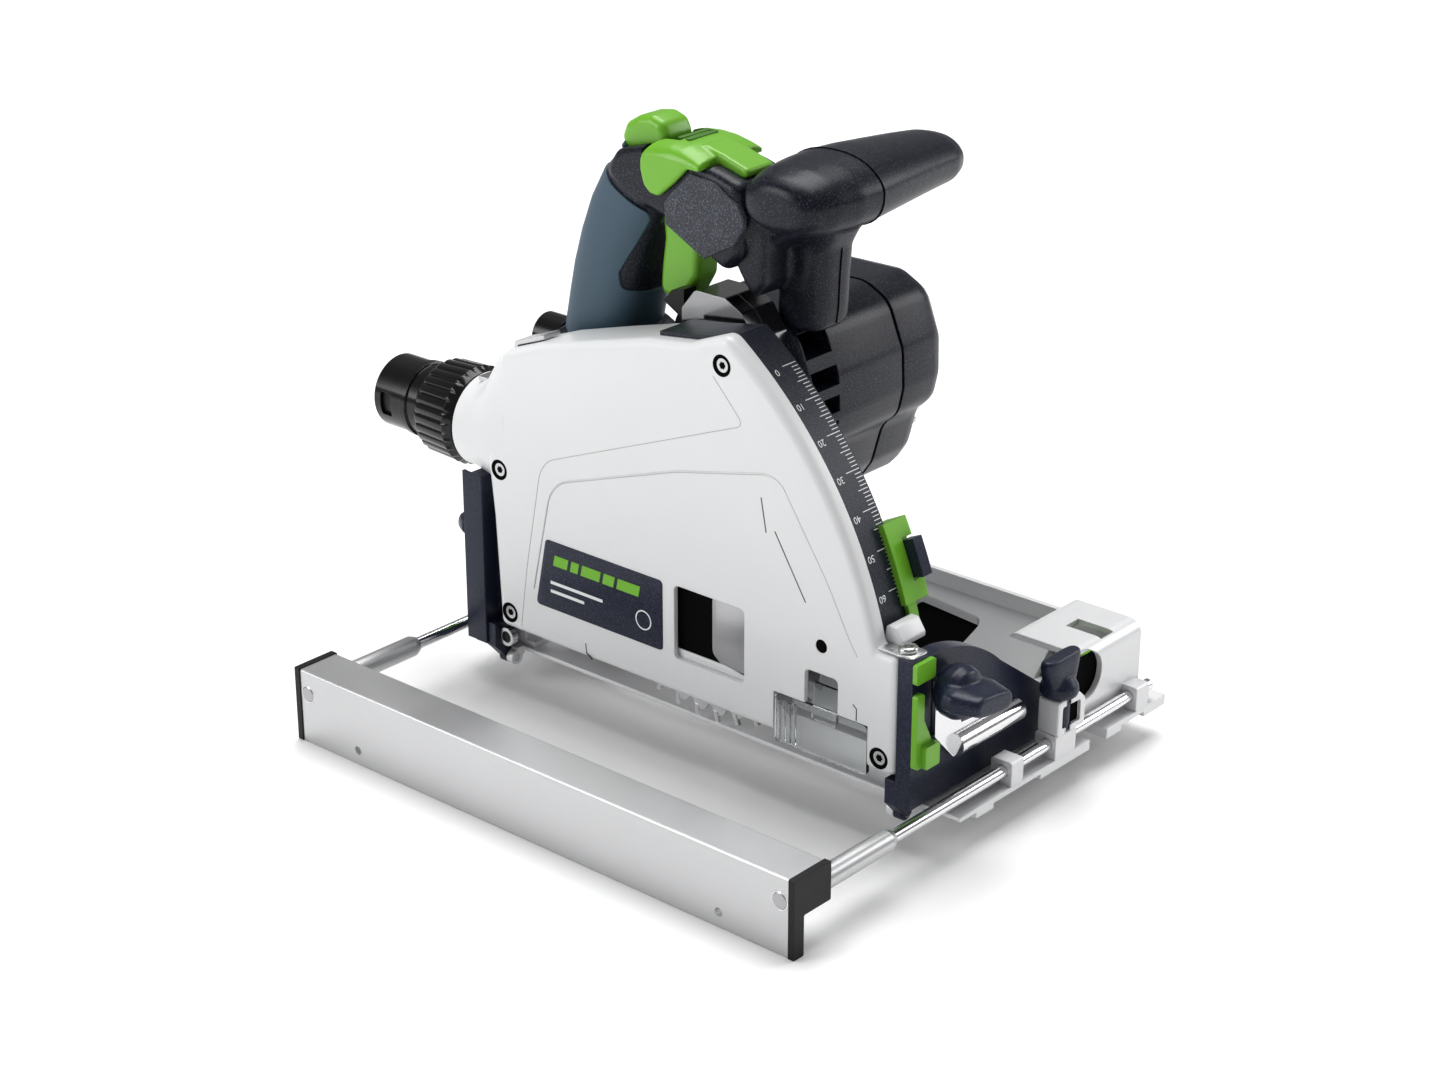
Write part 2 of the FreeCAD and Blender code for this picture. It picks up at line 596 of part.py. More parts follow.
def guard_frame():
    """Inner half of the guard: left wall, rim, dust socket, hinge eyes, pivot boss."""
    shell = guard_face(FRAME_R, 0, (GUARD_SPLIT, GUARD_LEFT), front=False)
    room = guard_face(FRAME_R, GUARD_WALL, (GUARD_SPLIT - 1, GUARD_LEFT - GUARD_WALL),
                      front=False)
    body = shell.cut(room)
    socket = cyl("X", PORT_BORE + 6.8, (COLLAR_X + 2, -112), (PORT_Y, PORT_Z))
    socket = socket.cut(box((-200, 0), (GUARD_LEFT + 16, 0), (0, 300)))
    socket = socket.cut(box((-126, 0), (-120, GUARD_SPLIT), (0, 300)))
    boss = cyl("Y", PIVOT_BOSS_R, (GUARD_LEFT - GUARD_WALL - 8, CASE_RIGHT - GAP), PIVOT)
    lugs = [cyl("Y", 5.0, (GUARD_SPLIT, GUARD_LEFT), p) for p in screw_spots()[:3]]
    body = body.fuse([socket, boss] + [lug.common(shell) for lug in lugs])
    body = body.cut(cyl("X", PORT_BORE, (COLLAR_X - 5, -100), (PORT_Y, PORT_Z)))
    body = body.cut(cyl("X", PORT_R + 2.0 + GAP, (COLLAR_X - 5, COLLAR_X + 14),
                        (PORT_Y, PORT_Z)))
    body = body.cut(arbor_slot((GUARD_LEFT - GUARD_WALL - 1, GUARD_LEFT + 1),
                               SPINDLE_BEARING_R + CASE_WALL + 1.0))
    body = body.cut(cyl("Y", PIVOT_PIN_R, (-100, CASE_RIGHT + 1), PIVOT))
    for p in screw_spots()[:3]:
        body = body.cut(cyl("Y", 2.0, (GUARD_SPLIT - 1, GUARD_SPLIT + 12), p))
    return body.removeSplitter()


def bevel_segment(s):
    """Bevel segment bolted to the guard, with the hinge eye and the arc slot."""
    x = (SEG_X, SEG_FRONT)
    rise = 97.0 if s < 0 else 80.0
    rim_start = polar(HINGE, SEG_R, 83)
    rim_mid = polar(HINGE, SEG_R, 65)
    rim_end = polar(HINGE, SEG_R, 47)
    pts = [(GUARD_Y, 8), (GUARD_Y, rise), (-84.5, rise), (-84.5, 79.5)]
    rest = [(10, 30), (13, 22), (13, 7.5), (-66, 7.5), (-78, 8)]
    edges = []
    def seg(a, b):
        edges.append(Part.LineSegment(lift("YZ", a, x[0]), lift("YZ", b, x[0])).toShape())
    chain = pts + [rim_start]
    for a, b in zip(chain[:-1], chain[1:]):
        seg(a, b)
    edges.append(Part.Arc(*[lift("YZ", p, x[0]) for p in (rim_start, rim_mid, rim_end)])
                 .toShape())
    chain = [rim_end] + rest + [pts[0]]
    for a, b in zip(chain[:-1], chain[1:]):
        seg(a, b)
    body = Part.Face(Part.Wire(edges)).extrude(Vector(x[1] - x[0], 0, 0))
    slot_half = STUD_R + 0.6
    slot = sector("YZ", HINGE, SLOT_R - slot_half, SLOT_R + slot_half,
                  STUD_ANGLE - BEVEL_MAX - 1, STUD_ANGLE + 1.5, (x[0] - 1, x[1] + 1))
    ends = [cyl("X", slot_half, (x[0] - 1, x[1] + 1), polar(HINGE, SLOT_R, a))
            for a in (STUD_ANGLE - BEVEL_MAX - 1, STUD_ANGLE + 1.5)]
    body = body.cut(union([slot] + ends))
    arm = prism("YZ", [(GUARD_Y, 8), (GUARD_Y, 20), (BASE_RIGHT - 0.5, 20),
                       (BASE_RIGHT - 0.5, 3), (BEVEL_Y + 2, -1), (BEVEL_Y - 2, -1)],
                (EYE_X[0], SEG_X))
    eye = cyl("X", HINGE_EYE_R, EYE_X, HINGE)
    tab = box((113.5, SEG_X), (GUARD_SPLIT - 5.5, GUARD_SPLIT), (22, 76))
    tab = tab.cut(cyl("Y", 6.05, (-100, 0), screw_spots()[3]))
    link_box = box((-FRAME_REAR_X, SEG_X), (GUARD_SPLIT, BASE_RIGHT), (24, 76))
    body = body.fuse([arm, eye, tab if s > 0 else link_box])
    body = body.cut(cyl("X", HINGE_PIN_R + PIN_CLEAR, (EYE_X[0] - 1, EYE_X[1] + 1), HINGE))
    return body.removeSplitter()


def bevel_segment_front():
    """Front bevel segment."""
    return bevel_segment(1)


def bevel_segment_rear():
    """Rear bevel segment, taller where it meets the dust socket."""
    return mirror_x(bevel_segment(-1))


def depth_scale():
    """Curved band that carries the depth graduations, with its flat top."""
    span = (GUARD_SPLIT + 0.2, GUARD_LEFT)
    low = math.degrees(math.asin((80.0 - PIVOT_Z) / FRAME_R))
    top = math.degrees(math.atan2(GUARD_TOP[0][1] - PIVOT_Z, GUARD_TOP[0][0] - PIVOT_X))
    band = sector("XZ", PIVOT, FRAME_R, FRAME_R + SCALE_T, low, top, span)
    a = polar(PIVOT, FRAME_R, top)
    b = polar(PIVOT, FRAME_R + SCALE_T, top)
    lid = prism("XZ", [a, GUARD_TOP[1], (-18, 191.8), (-18, 193.8),
                       (GUARD_TOP[1][0], GUARD_TOP[1][1] + SCALE_T), b], span)
    return band.fuse(lid).removeSplitter()


def torx_screw(head_r, head_t, shank_r, length):
    """Pan-head screw pointing along +Y with its head's face at y = 0."""
    screw = cyl("Y", head_r, (0, head_t), (0, 0)).fuse(cyl("Y", shank_r, (head_t, length), (0, 0)))
    screw = soften(screw, 0.5, lambda e: e.BoundBox.YMax < 0.01 and e.BoundBox.YMin > -0.01)
    lobes = [cyl("Y", 0.55, (-1, 1.3), polar((0, 0), 1.25, 60 * i)) for i in range(6)]
    return screw.cut(union([cyl("Y", 1.35, (-1, 1.3), (0, 0))] + lobes)).removeSplitter()


def guard_screws():
    """Screws that hold the cover on the frame and the front segment."""
    out = []
    for x, z in screw_spots():
        screw = torx_screw(4.2, 2.6, 2.0, 14.0)
        screw.translate(Vector(x, GUARD_Y + 0.4, z))
        out.append(screw)
    return Part.makeCompound(out)


def hose_clip():
    """Spring clip over the dust socket, held by one screw."""
    band = [(-141, 139.2), (-119.2, 139.2), (-113.8, 163.4), (-96, 170.1)]
    back = [(-96.6, 172.2), (-115.6, 165.0), (-121.0, 141.4), (-141, 141.4)]
    clip = prism("XZ", band + back, (PORT_Y - 9, PORT_Y + 2))
    head = cyl("Z", 3.5, (141.3, 144.0), (-133, PORT_Y - 3.5))
    return union([clip, head])


def bevel_markers():
    """Index blocks on top of the two bevel segments."""
    block = prism("YZ", [(GUARD_Y, 70), (-81, 70), (-81, 79.4), (GUARD_Y, 79.4)],
                  (SEG_FRONT, SEG_FRONT + 2.5), 1.0)
    return Part.makeCompound([block, mirror_x(block)])


def bevel_stop_slider(s):
    """Latch that lets the head tilt past its end stops."""
    x = (SEG_FRONT + 0.1, SEG_FRONT + 3.0)
    blade = prism("YZ", [(GUARD_Y, 29), (-84, 29), (-84, 42), (-89, 52), (-89, 65),
                         (GUARD_Y, 65)], x, 1.5)
    step = prism("YZ", [(-91, 29), (-81, 29), (-81, 40), (-91, 40)], (x[0], x[1] + 3), 1.0)
    slider = blade.fuse(step).removeSplitter()
    return slider if s > 0 else mirror_x(slider)


def plunge_pin():
    """Pin that the head swings on, pressed into the guard frame."""
    pin = cyl("Y", PIVOT_PIN_R, (GUARD_LEFT - GUARD_WALL - 8, CASE_LEFT + 12), PIVOT)
    head = cyl("Y", PIVOT_PIN_R + 2.5, (CASE_LEFT + 12, CASE_LEFT + 14), PIVOT)
    return pin.fuse(head).removeSplitter()


def splinter_guard():
    """Clear chip guard that slides down to the workpiece in the cover's notch."""
    y = (GUARD_Y + 0.3, GUARD_Y + 2.4)
    pane = prism("XZ", [(57.5, 17), (110.5, 17), (110.5, 41.5), (57.5, 41.5)], y, 2.0)
    ribs = [box((60 + 3 * i, 61.2 + 3 * i), (GUARD_Y - 0.7, y[0] + 0.1), (19, 39))
            for i in range(4)]
    step = box((78, 92), (y[1] - 0.1, y[1] + 1.9), (34, 40))
    tab = box((78, 92), (y[1] + 0.4, y[1] + 1.9), (34, 52))
    return union([pane, step, tab] + ribs)


# --------------------------------------------------------------- dust outlet
def dust_tube():
    """Turning hose outlet with bayonet studs."""
    body = ring("X", PORT_R, PORT_BORE, (PORT_END_X, COLLAR_X + 12), (PORT_Y, PORT_Z))
    studs = []
    for a in (0, 180):
        p = polar((PORT_Y, PORT_Z), PORT_R + 0.4, a + 20)
        studs.append(cyl("X", 2.2, (PORT_END_X + 8, PORT_END_X + 16), p))
    body = body.fuse(studs)
    lip = ring("X", PORT_R + 2.0, PORT_BORE, (COLLAR_X + 8, COLLAR_X + 12), (PORT_Y, PORT_Z))
    return body.fuse(lip).removeSplitter()


def dust_collar():
    """Ribbed grip ring fixed on the outlet."""
    x1 = COLLAR_X - GAP
    x0 = x1 - COLLAR_LEN
    body = Part.makeCone(COLLAR_R - 2.5, COLLAR_R, COLLAR_LEN, Vector(x0, PORT_Y, PORT_Z),
                         Vector(1, 0, 0))
    for i in range(24):
        p = polar((PORT_Y, PORT_Z), COLLAR_R + 0.5, 15 * i)
        body = body.cut(cyl("X", 1.3, (x0 + 3, x1 - 4), p))
    return body.cut(cyl("X", PORT_R, (x0 - 1, x1 + 1), (PORT_Y, PORT_Z)))


# ---------------------------------------------------------------- depth stop
def depth_stop():
    """Slider that clips on the edge of the depth band."""
    outer = sector("XZ", PIVOT, FRAME_R + SCALE_T + GAP, FRAME_R + SCALE_T + 3.4,
                   STOP_ANGLE - 5, STOP_ANGLE + 5, (STOP_Y[0] - 5, STOP_Y[1]))
    side = sector("XZ", PIVOT, FRAME_R - 6, FRAME_R + SCALE_T + 3.4,
                  STOP_ANGLE - 5, STOP_ANGLE + 5, STOP_Y)
    pocket = sector("XZ", PIVOT, FRAME_R + SCALE_T, FRAME_R + SCALE_T + 10,
                    STOP_ANGLE - 2.6, STOP_ANGLE + 2.6, (STOP_Y[0] + 4, STOP_Y[1] + 1))
    tongue = sector("XZ", PIVOT, FRAME_R + SCALE_T + GAP, FRAME_R + SCALE_T + 2.6,
                    STOP_ANGLE - 8, STOP_ANGLE - 4.9, (STOP_Y[0] - 3, STOP_Y[0] + 3))
    return union([outer, side, tongue]).cut(pocket)


def depth_stop_button():
    """Button that frees the depth stop."""
    return sector("XZ", PIVOT, FRAME_R + SCALE_T + 2.2, FRAME_R + SCALE_T + 9,
                  STOP_ANGLE - 2.3, STOP_ANGLE + 2.3, (STOP_Y[0] + 4.3, STOP_Y[1] - 0.4))


# ---------------------------------------------------------------- gear train
def spur_gear(teeth, centre, span, bore_r, phase):
    """Spur gear with straight-flanked teeth; `phase` is the angle of one tooth's middle."""
    pitch_r = MODULE * teeth / 2
    root_r = pitch_r - 1.15 * MODULE
    tip_r = pitch_r + 0.85 * MODULE
    step = 360.0 / teeth
    half_root = 0.36 * step
    half_tip = 0.105 * step
    pts = []
    for i in range(teeth):
        mid = phase + i * step
        for r, off in ((root_r, -half_root), (pitch_r, -0.225 * step), (tip_r, -half_tip),
                       (tip_r, half_tip), (pitch_r, 0.225 * step), (root_r, half_root)):
            pts.append(polar(centre, r, mid + off))
    gear = prism("XZ", pts, span)
    if bore_r > 0:
        gear = gear.cut(cyl("Y", bore_r, (span[0] - 1, span[1] + 1), centre))
    return gear


def mesh_phases():
    """Tooth angles that put the three gears in mesh along their line of centres."""
    idler = GEAR_LEAN + 180.0
    step_a = 360.0 / TEETH_ARBOR
    arbor = GEAR_LEAN + 0.5 * step_a
    step_i = 360.0 / TEETH_IDLER
    offset = ((GEAR_LEAN - idler) / step_i) % 1.0
    step_p = 360.0 / TEETH_PINION
    pinion = GEAR_LEAN + 180.0 + (0.5 + offset) * step_p
    return arbor, idler, pinion


def drive_gear():
    """Gear on the arbor."""
    arbor, _, _ = mesh_phases()
    return spur_gear(TEETH_ARBOR, ARBOR, (GEAR_Y, GEAR_Y + GEAR_W), ARBOR_R, arbor)


def idler_gear():
    """Idler between pinion and drive gear, turning on its own stub axles."""
    _, idler, _ = mesh_phases()
    gear = spur_gear(TEETH_IDLER, IDLER, (GEAR_Y, GEAR_Y + GEAR_W), 0, idler)
    axle = cyl("Y", 4.0, (CASE_RIGHT + 1.2, CASE_LEFT - 1.2), IDLER)
    return gear.fuse(axle).removeSplitter()


def pinion_shaft():
    """Motor shaft with its pinion cut on one end."""
    _, _, pinion = mesh_phases()
    gear = spur_gear(TEETH_PINION, MOTOR, (GEAR_Y - 0.5, GEAR_Y + GEAR_W + 0.5), 0, pinion)
    shaft = cyl("Y", MOTOR_SHAFT_R, (GEAR_Y + GEAR_W, MOTOR_END - 6), MOTOR)
    return gear.fuse(shaft).removeSplitter()


def rotor_core():
    """Magnet rotor on the motor shaft."""
    core = ring("Y", ROTOR_R, MOTOR_SHAFT_R, (-12, 44), MOTOR)
    for i in range(8):
        p = polar(MOTOR, ROTOR_R, 45 * i)
        core = core.cut(cyl("Y", 0.9, (-13, 45), p))
    return core


def cooling_fan():
    """Radial fan between gear case and motor."""
    y0 = CASE_LEFT + 3.0
    disc = ring("Y", FAN_R, MOTOR_SHAFT_R, (y0 + 10, y0 + 12), MOTOR)
    hub = ring("Y", 10, MOTOR_SHAFT_R, (y0 + 1, y0 + 10), MOTOR)
    fins = []
    for i in range(11):
        fin = box((9, FAN_R - 0.5), (y0 + 2, y0 + 10.5), (-0.7, 0.7))
        fin.rotate(Vector(20, 0, 0), Vector(0, 1, 0), 18)
        fin.rotate(Vector(0, 0, 0), Vector(0, 1, 0), 360.0 / 11 * i)
        fin.translate(Vector(MOTOR[0], 0, MOTOR[1]))
        fins.append(fin)
    fan = union([disc, hub] + fins)
    return fan.common(ring("Y", FAN_R, MOTOR_SHAFT_R, (y0, y0 + 13), MOTOR))


def stator():
    """Laminated stator with its windings, seated in the motor case."""
    pack = ring("Y", STATOR_R, STATOR_R - 6, (-10, 28), MOTOR)
    teeth = []
    for i in range(12):
        tooth = box((STATOR_BORE, STATOR_R - 5.5), (-10, 28), (-2.2, 2.2))
        coil = box((STATOR_BORE + 3, STATOR_R - 6.2), (-14, 32), (-3.4, 3.4))
        both = tooth.fuse(coil)
        both.rotate(Vector(0, 0, 0), Vector(0, 1, 0), 30 * i)
        both.translate(Vector(MOTOR[0], 0, MOTOR[1]))
        teeth.append(both)
    return union([pack] + teeth).common(ring("Y", STATOR_R, STATOR_BORE, (-16, 34), MOTOR))


def arbor_shaft():
    """Arbor with the seat for the blade's bore."""
    shaft = cyl("Y", ARBOR_R, (NOSE_Y, FAR_SEAT_Y + BEARING_W - 0.3), ARBOR)
    nose = cyl("Y", BORE_R, (BLADE_OUT - 2, NOSE_Y), ARBOR)
    shaft = shaft.fuse(nose).removeSplitter()
    return shaft.cut(cyl("Y", 4.0, (BLADE_OUT - 10, BLADE_OUT + 14), ARBOR))


def blade_flanges():
    """Inner and outer clamping flanges."""
    inner = ring("Y", FLANGE_R, ARBOR_R, (NOSE_Y, NOSE_Y + 3.8), ARBOR)
    outer = ring("Y", FLANGE_R, BORE_R, (BLADE_OUT - 2, BLADE_OUT), ARBOR)
    face = ring("Y", FLANGE_R - 2, 4.0, (BLADE_OUT - 4, BLADE_OUT - 2), ARBOR)
    return Part.makeCompound([inner, outer.fuse(face).removeSplitter()])


def arbor_screw():
    """Socket screw that clamps the blade."""
    head_y = BLADE_OUT - 4
    screw = cyl("Y", 8.0, (head_y - 2.6, head_y), ARBOR).fuse(
        cyl("Y", 4.0, (head_y, BLADE_OUT + 12), ARBOR))
    hexagon = [polar(ARBOR, 3.0, 60 * i) for i in range(6)]
    return screw.cut(prism("XZ", hexagon, (head_y - 4, head_y - 0.6))).removeSplitter()


def saw_blade():
    """Saw blade: body, gullets, carbide tips and expansion slots."""
    body_r = BLADE_R - 2.2
    y = (BLADE_OUT, NOSE_Y)
    step = 360.0 / BLADE_TEETH
    pts = []
    for i in range(BLADE_TEETH):
        a = -i * step
        pts.append(polar(ARBOR, body_r, a))
        pts.append(polar(ARBOR, body_r - 5.0, a - 0.12 * step))
        pts.append(polar(ARBOR, body_r - 6.0, a - 0.32 * step))
        pts.append(polar(ARBOR, body_r - 2.5, a - 0.52 * step))
    body = prism("XZ", pts, y).cut(cyl("Y", BORE_R, (y[0] - 1, y[1] + 1), ARBOR))
    for i in range(6):
        a = 60 * i + 12
        slit = box((BLADE_R - 26, BLADE_R - 12), (y[0] - 1, y[1] + 1), (-0.3, 0.3))
        end = cyl("Y", 2.0, (y[0] - 1, y[1] + 1), (BLADE_R - 26, 0))
        cut = slit.fuse(end)
        cut.rotate(Vector(0, 0, 0), Vector(0, 1, 0), a)
        cut.translate(Vector(ARBOR[0], 0, ARBOR[1]))
        body = body.cut(cut)
    tips = []
    for i in range(BLADE_TEETH):
        a = -i * step
        quad = [polar(ARBOR, BLADE_R, a + 0.02 * step),
                polar(ARBOR, body_r - 3.4, a - 0.06 * step),
                polar(ARBOR, body_r - 3.4, a + 0.14 * step),
                polar(ARBOR, BLADE_R - 0.4, a + 0.2 * step)]
        tips.append(prism("XZ", quad, (BLADE_Y - KERF / 2, BLADE_Y + KERF / 2)))
    return union([body] + tips)


def bearing(r_out, r_in, span, centre):
    """Shielded ball bearing as one ring with its race grooves."""
    body = ring("Y", r_out, r_in, span, centre)
    mid = 0.5 * (r_out + r_in)
    for y in (span[0] - 1, span[1] - 0.6):
        body = body.cut(ring("Y", mid + 1.5, mid - 1.5, (y, y + 1.6), centre))
    return body


def ball_bearings():
    """Two bearings on the arbor and two on the motor shaft."""
    spindle = ARBOR_R + RUN_CLEAR
    motor = MOTOR_SHAFT_R + RUN_CLEAR
    places = [
        (SPINDLE_BEARING_R, spindle, NEAR_SEAT_Y, ARBOR),
        (SPINDLE_BEARING_R, spindle, FAR_SEAT_Y, ARBOR),
        (MOTOR_BEARING_R, motor, ROTOR_SEAT_Y, MOTOR),
        (MOTOR_BEARING_R, motor, CAP_SEAT_Y, MOTOR),
    ]
    return Part.makeCompound([bearing(ro, ri, (y, y + BEARING_W), c) for ro, ri, y, c in places])


# ---------------------------------------------------------------------- head
def case_outline(span):
    """Outside of the gear case: gear lobes, swing arm and upper lug."""
    r_arbor = R_ARBOR + MODULE + 0.5 + CASE_WALL
    r_idler = R_IDLER + MODULE + 0.8 + CASE_WALL
    lobes = [link(ARBOR, r_arbor, IDLER, r_idler, span), link(IDLER, r_idler, MOTOR, 30.0, span),
             link(PIVOT, PIVOT_BOSS_R, IDLER, 15.0, span)]
    lug = prism("XZ", [(-28, 150), (16, 150), (16, 190), (8, 201), (-2, 206), (-20, 206),
                       (-28, 196)], span, 3.0)
    return union(lobes + [lug])


def gear_room(span):
    """Space that the gears turn in."""
    return union([cyl("Y", R_ARBOR + MODULE + 0.5, span, ARBOR),
                  cyl("Y", R_IDLER + MODULE + 0.8, span, IDLER),
                  cyl("Y", R_PINION + MODULE + 1.2, span, MOTOR)])


def gear_cover():
    """Right half of the gear case, with the arbor boss through the guard's slot."""
    body = case_outline((CASE_RIGHT, CASE_SPLIT))
    boss_r = SPINDLE_BEARING_R + CASE_WALL
    boss = cyl("Y", boss_r, (NEAR_SEAT_Y - 1.5, CASE_RIGHT + 1), ARBOR)
    body = body.fuse(boss)
    body = body.cut(gear_room((GEAR_Y - 1.5, CASE_SPLIT + 1)))
    seat = (NEAR_SEAT_Y, NEAR_SEAT_Y + BEARING_W)
    body = body.cut(cyl("Y", SPINDLE_BEARING_R, seat, ARBOR))
    body = body.cut(cyl("Y", ARBOR_R + 1.0, (NOSE_Y, 0), ARBOR))
    body = body.cut(cyl("Y", 4.0 + RUN_CLEAR, (CASE_RIGHT + 1, 0), IDLER))
    return body.cut(cyl("Y", PIVOT_PIN_R + PIN_CLEAR, (-100, 0), PIVOT)).removeSplitter()


def gear_housing():
    """Left half of the gear case, with the swing arm's boss and the motor seat."""
    body = case_outline((CASE_SPLIT, CASE_LEFT))
    boss = cyl("Y", PIVOT_BOSS_R, (CASE_LEFT - 1, CASE_LEFT + 4), PIVOT)
    body = body.fuse(boss)
    body = body.cut(gear_room((CASE_SPLIT - 1, GEAR_Y + GEAR_W + 1.5)))
    body = body.cut(cyl("Y", SPINDLE_BEARING_R, (FAR_SEAT_Y - 1, FAR_SEAT_Y + BEARING_W), ARBOR))
    body = body.cut(cyl("Y", MOTOR_BEARING_R, (ROTOR_SEAT_Y, CASE_LEFT + 1), MOTOR))
    body = body.cut(cyl("Y", MOTOR_SHAFT_R + 1.5, (CASE_SPLIT, CASE_LEFT + 1), MOTOR))
    body = body.cut(cyl("Y", 4.0 + RUN_CLEAR, (CASE_SPLIT, CASE_LEFT - 1), IDLER))
    return body.cut(cyl("Y", PIVOT_PIN_R + PIN_CLEAR, (-100, 0), PIVOT)).removeSplitter()


def motor_housing():
    """Motor case with its air slots, open towards the end cap."""
    span = (CASE_LEFT, MOTOR_SPLIT)
    body = prism("XZ", MOTOR_LINE, span, 6.0)
    seat = cyl("Y", STATOR_R, (-10, 28), MOTOR)
    fan_room = cyl("Y", STATOR_R + 2.5, (CASE_LEFT + MOTOR_WALL - 1, -16), MOTOR)
    through = cyl("Y", STATOR_R - 2.5, (-20, MOTOR_SPLIT + 1), MOTOR)
    wide = cyl("Y", STATOR_R + 2.5, (28, MOTOR_SPLIT + 1), MOTOR)
    neck = cyl("Y", MOTOR_BEARING_R, (CASE_LEFT - 1, CASE_LEFT + MOTOR_WALL), MOTOR)
    board_room = prism("XZ", [(-40, 92), (-16, 86), (2, 97), (6, 106), (-40, 106)],
                       (-30, MOTOR_SPLIT + 1))
    body = body.cut(union([seat, fan_room, through, wide, neck])).cut(board_room)
    for z0, z1 in ((176, 187), (161, 170), (148, 156), (136, 143.5)):
        body = body.cut(box((MOTOR[0] + 20, 40), (CASE_LEFT + 3.5, -17), (z0, z1)))
    return body.removeSplitter()


def motor_cap():
    """End cap of the motor case, with the rear bearing seat."""
    body = prism("XZ", MOTOR_LINE, (MOTOR_SPLIT, MOTOR_END), 6.0)
    body = soften(body, 5.0, lambda e: e.BoundBox.YMin > MOTOR_END - 0.01)
    room = cyl("Y", STATOR_R + 2.5, (MOTOR_SPLIT - 1, CAP_SEAT_Y), MOTOR)
    seat = cyl("Y", MOTOR_BEARING_R, (CAP_SEAT_Y - 1, CAP_SEAT_Y + BEARING_W), MOTOR)
    tail = cyl("Y", MOTOR_SHAFT_R + 1.0, (CAP_SEAT_Y - 1, MOTOR_END - 5), MOTOR)
    body = body.cut(union([room, seat, tail]))
    for p in CAP_SCREWS:
        body = body.cut(cyl("Y", CAP_HEAD_R + 0.2, (MOTOR_END - 3.4, MOTOR_END + 1), p))
        body = body.cut(cyl("Y", CAP_SHANK_R, (MOTOR_END - 14, MOTOR_END), p))
    return body


def control_board():
    """Motor controller under the stator."""
    board = box((-34, 0), (-26, 26), (96, 98))
    parts = [box((-32 + 9 * i, -26 + 9 * i), (-20, -10), (98, 103)) for i in range(4)]
    return union([board] + parts)


def handle_room(inset, span):
    """Handle outline moved inwards, extruded across the handle."""
    wire = outline("XZ", HANDLE_LINE, span[0], 6.0).makeOffset2D(-inset)
    return Part.Face(wire).extrude(Vector(0, span[1] - span[0], 0))


def handle_pockets():
    """Cuts for the trigger, the lock-off rocker and the blade-change lever."""
    half = POCKET_W / 2
    trigger = prism("XZ", [(-66, 190), (-30, 190), (-24, 226), (-38, 240), (-54, 240)],
                    (HANDLE_MID - half, HANDLE_MID + half))
    lock = prism("XZ", [(-68, 256), (-38, 262), (-32, 290), (-72, 290)],
                 (HANDLE_MID - half, HANDLE_MID + half))
    return trigger, lock


def handle_shell(span, wall_side):
    """One half of the handle: hollow, open towards the other half."""
    body = prism("XZ", HANDLE_LINE, span, 6.0)
    if wall_side < 0:
        inner = (span[0] + HANDLE_WALL, span[1] + 1)
    else:
        inner = (span[0] - 1, span[1] - HANDLE_WALL)
    body = body.cut(handle_room(HANDLE_WALL, inner))
    rim = [e for e in body.Edges if abs(e.BoundBox.YMin - span[0 if wall_side < 0 else 1]) < 0.01
           and abs(e.BoundBox.YMax - span[0 if wall_side < 0 else 1]) < 0.01]
    body = body.makeFillet(2.4, rim)
    trigger, lock = handle_pockets()
    body = body.cut(trigger).cut(lock)
    return body.cut(lever_sweep()).removeSplitter()


def handle_right():
    """Handle half on the blade side."""
    return handle_shell((HANDLE_R, HANDLE_MID), -1)


def handle_left():
    """Handle half on the motor side."""
    return handle_shell((HANDLE_MID, HANDLE_L), 1)


def grip_line():
    """Side outline of the soft grip, just proud of the handle's back."""
    return [(-119.5, 150), (-109.5, 187), (-101.5, 215), (-87, 241.5), (-80, 247), (-66, 236),
            (-62, 226), (-70, 196), (-76, 168), (-84, 150)]


def soft_grip():
    """Soft overmould around the back of the grip."""
    jacket = prism("XZ", grip_line(), (HANDLE_R - GRIP_SKIN, HANDLE_L + GRIP_SKIN), 4.0)
    jacket = jacket.cut(prism("XZ", HANDLE_LINE, (HANDLE_R, HANDLE_L), 6.0))
    return jacket


def lever_line():
    """Side outline of the blade-change lever's saddle."""
    return [(-50, 250), (-44, 244), (-34, 246), (-22, 258), (-14, 276), (-30, 280), (-48, 276)]


def lever_sweep():
    """Recess in the handle under the blade-change lever."""
    saddle = prism("XZ", [(-53, 262), (-14, 262), (-6, 290), (-60, 290)],
                   (HANDLE_R - 1, HANDLE_L + 1))
    tongue = box((-80, -36), (HANDLE_MID - POCKET_W / 2, HANDLE_MID + POCKET_W / 2), (200, 268))
    front = prism("XZ", [(-16, 258), (0, 256), (4, 290), (-16, 290)],
                  (HANDLE_MID - 10, HANDLE_MID + 10))
    return saddle.cut(tongue).fuse(front)


def blade_lever():
    """Saddle-shaped lever that locks the arbor for a blade change."""
    wide = (HANDLE_R - 3, HANDLE_L + 3)
    saddle = prism("XZ", lever_line(), wide, 3.0)
    inner = prism("XZ", [(-60, 230), (-10, 230), (-10, 262 + GAP), (-60, 262 + GAP)],
                  (HANDLE_R - GAP, HANDLE_L + GAP))
    saddle = saddle.cut(inner)
    half = POCKET_W / 2 + GAP
    saddle = saddle.cut(box((-80, -36 + GAP), (HANDLE_MID - half, HANDLE_MID + half), (200, 300)))
    saddle = saddle.common(box((-80, -12), (-100, 20), (240, 277.5)))
    strip = prism("XZ", [(-22, 264), (LEVER_HINGE[0] - 1, 261), (LEVER_HINGE[0] + 4, 264),
                         (LEVER_HINGE[0] + 4, 268), (-14, 273), (-22, 274)],
                  (HANDLE_MID - POCKET_W / 2, HANDLE_MID + POCKET_W / 2))
    return saddle.fuse(strip).removeSplitter()


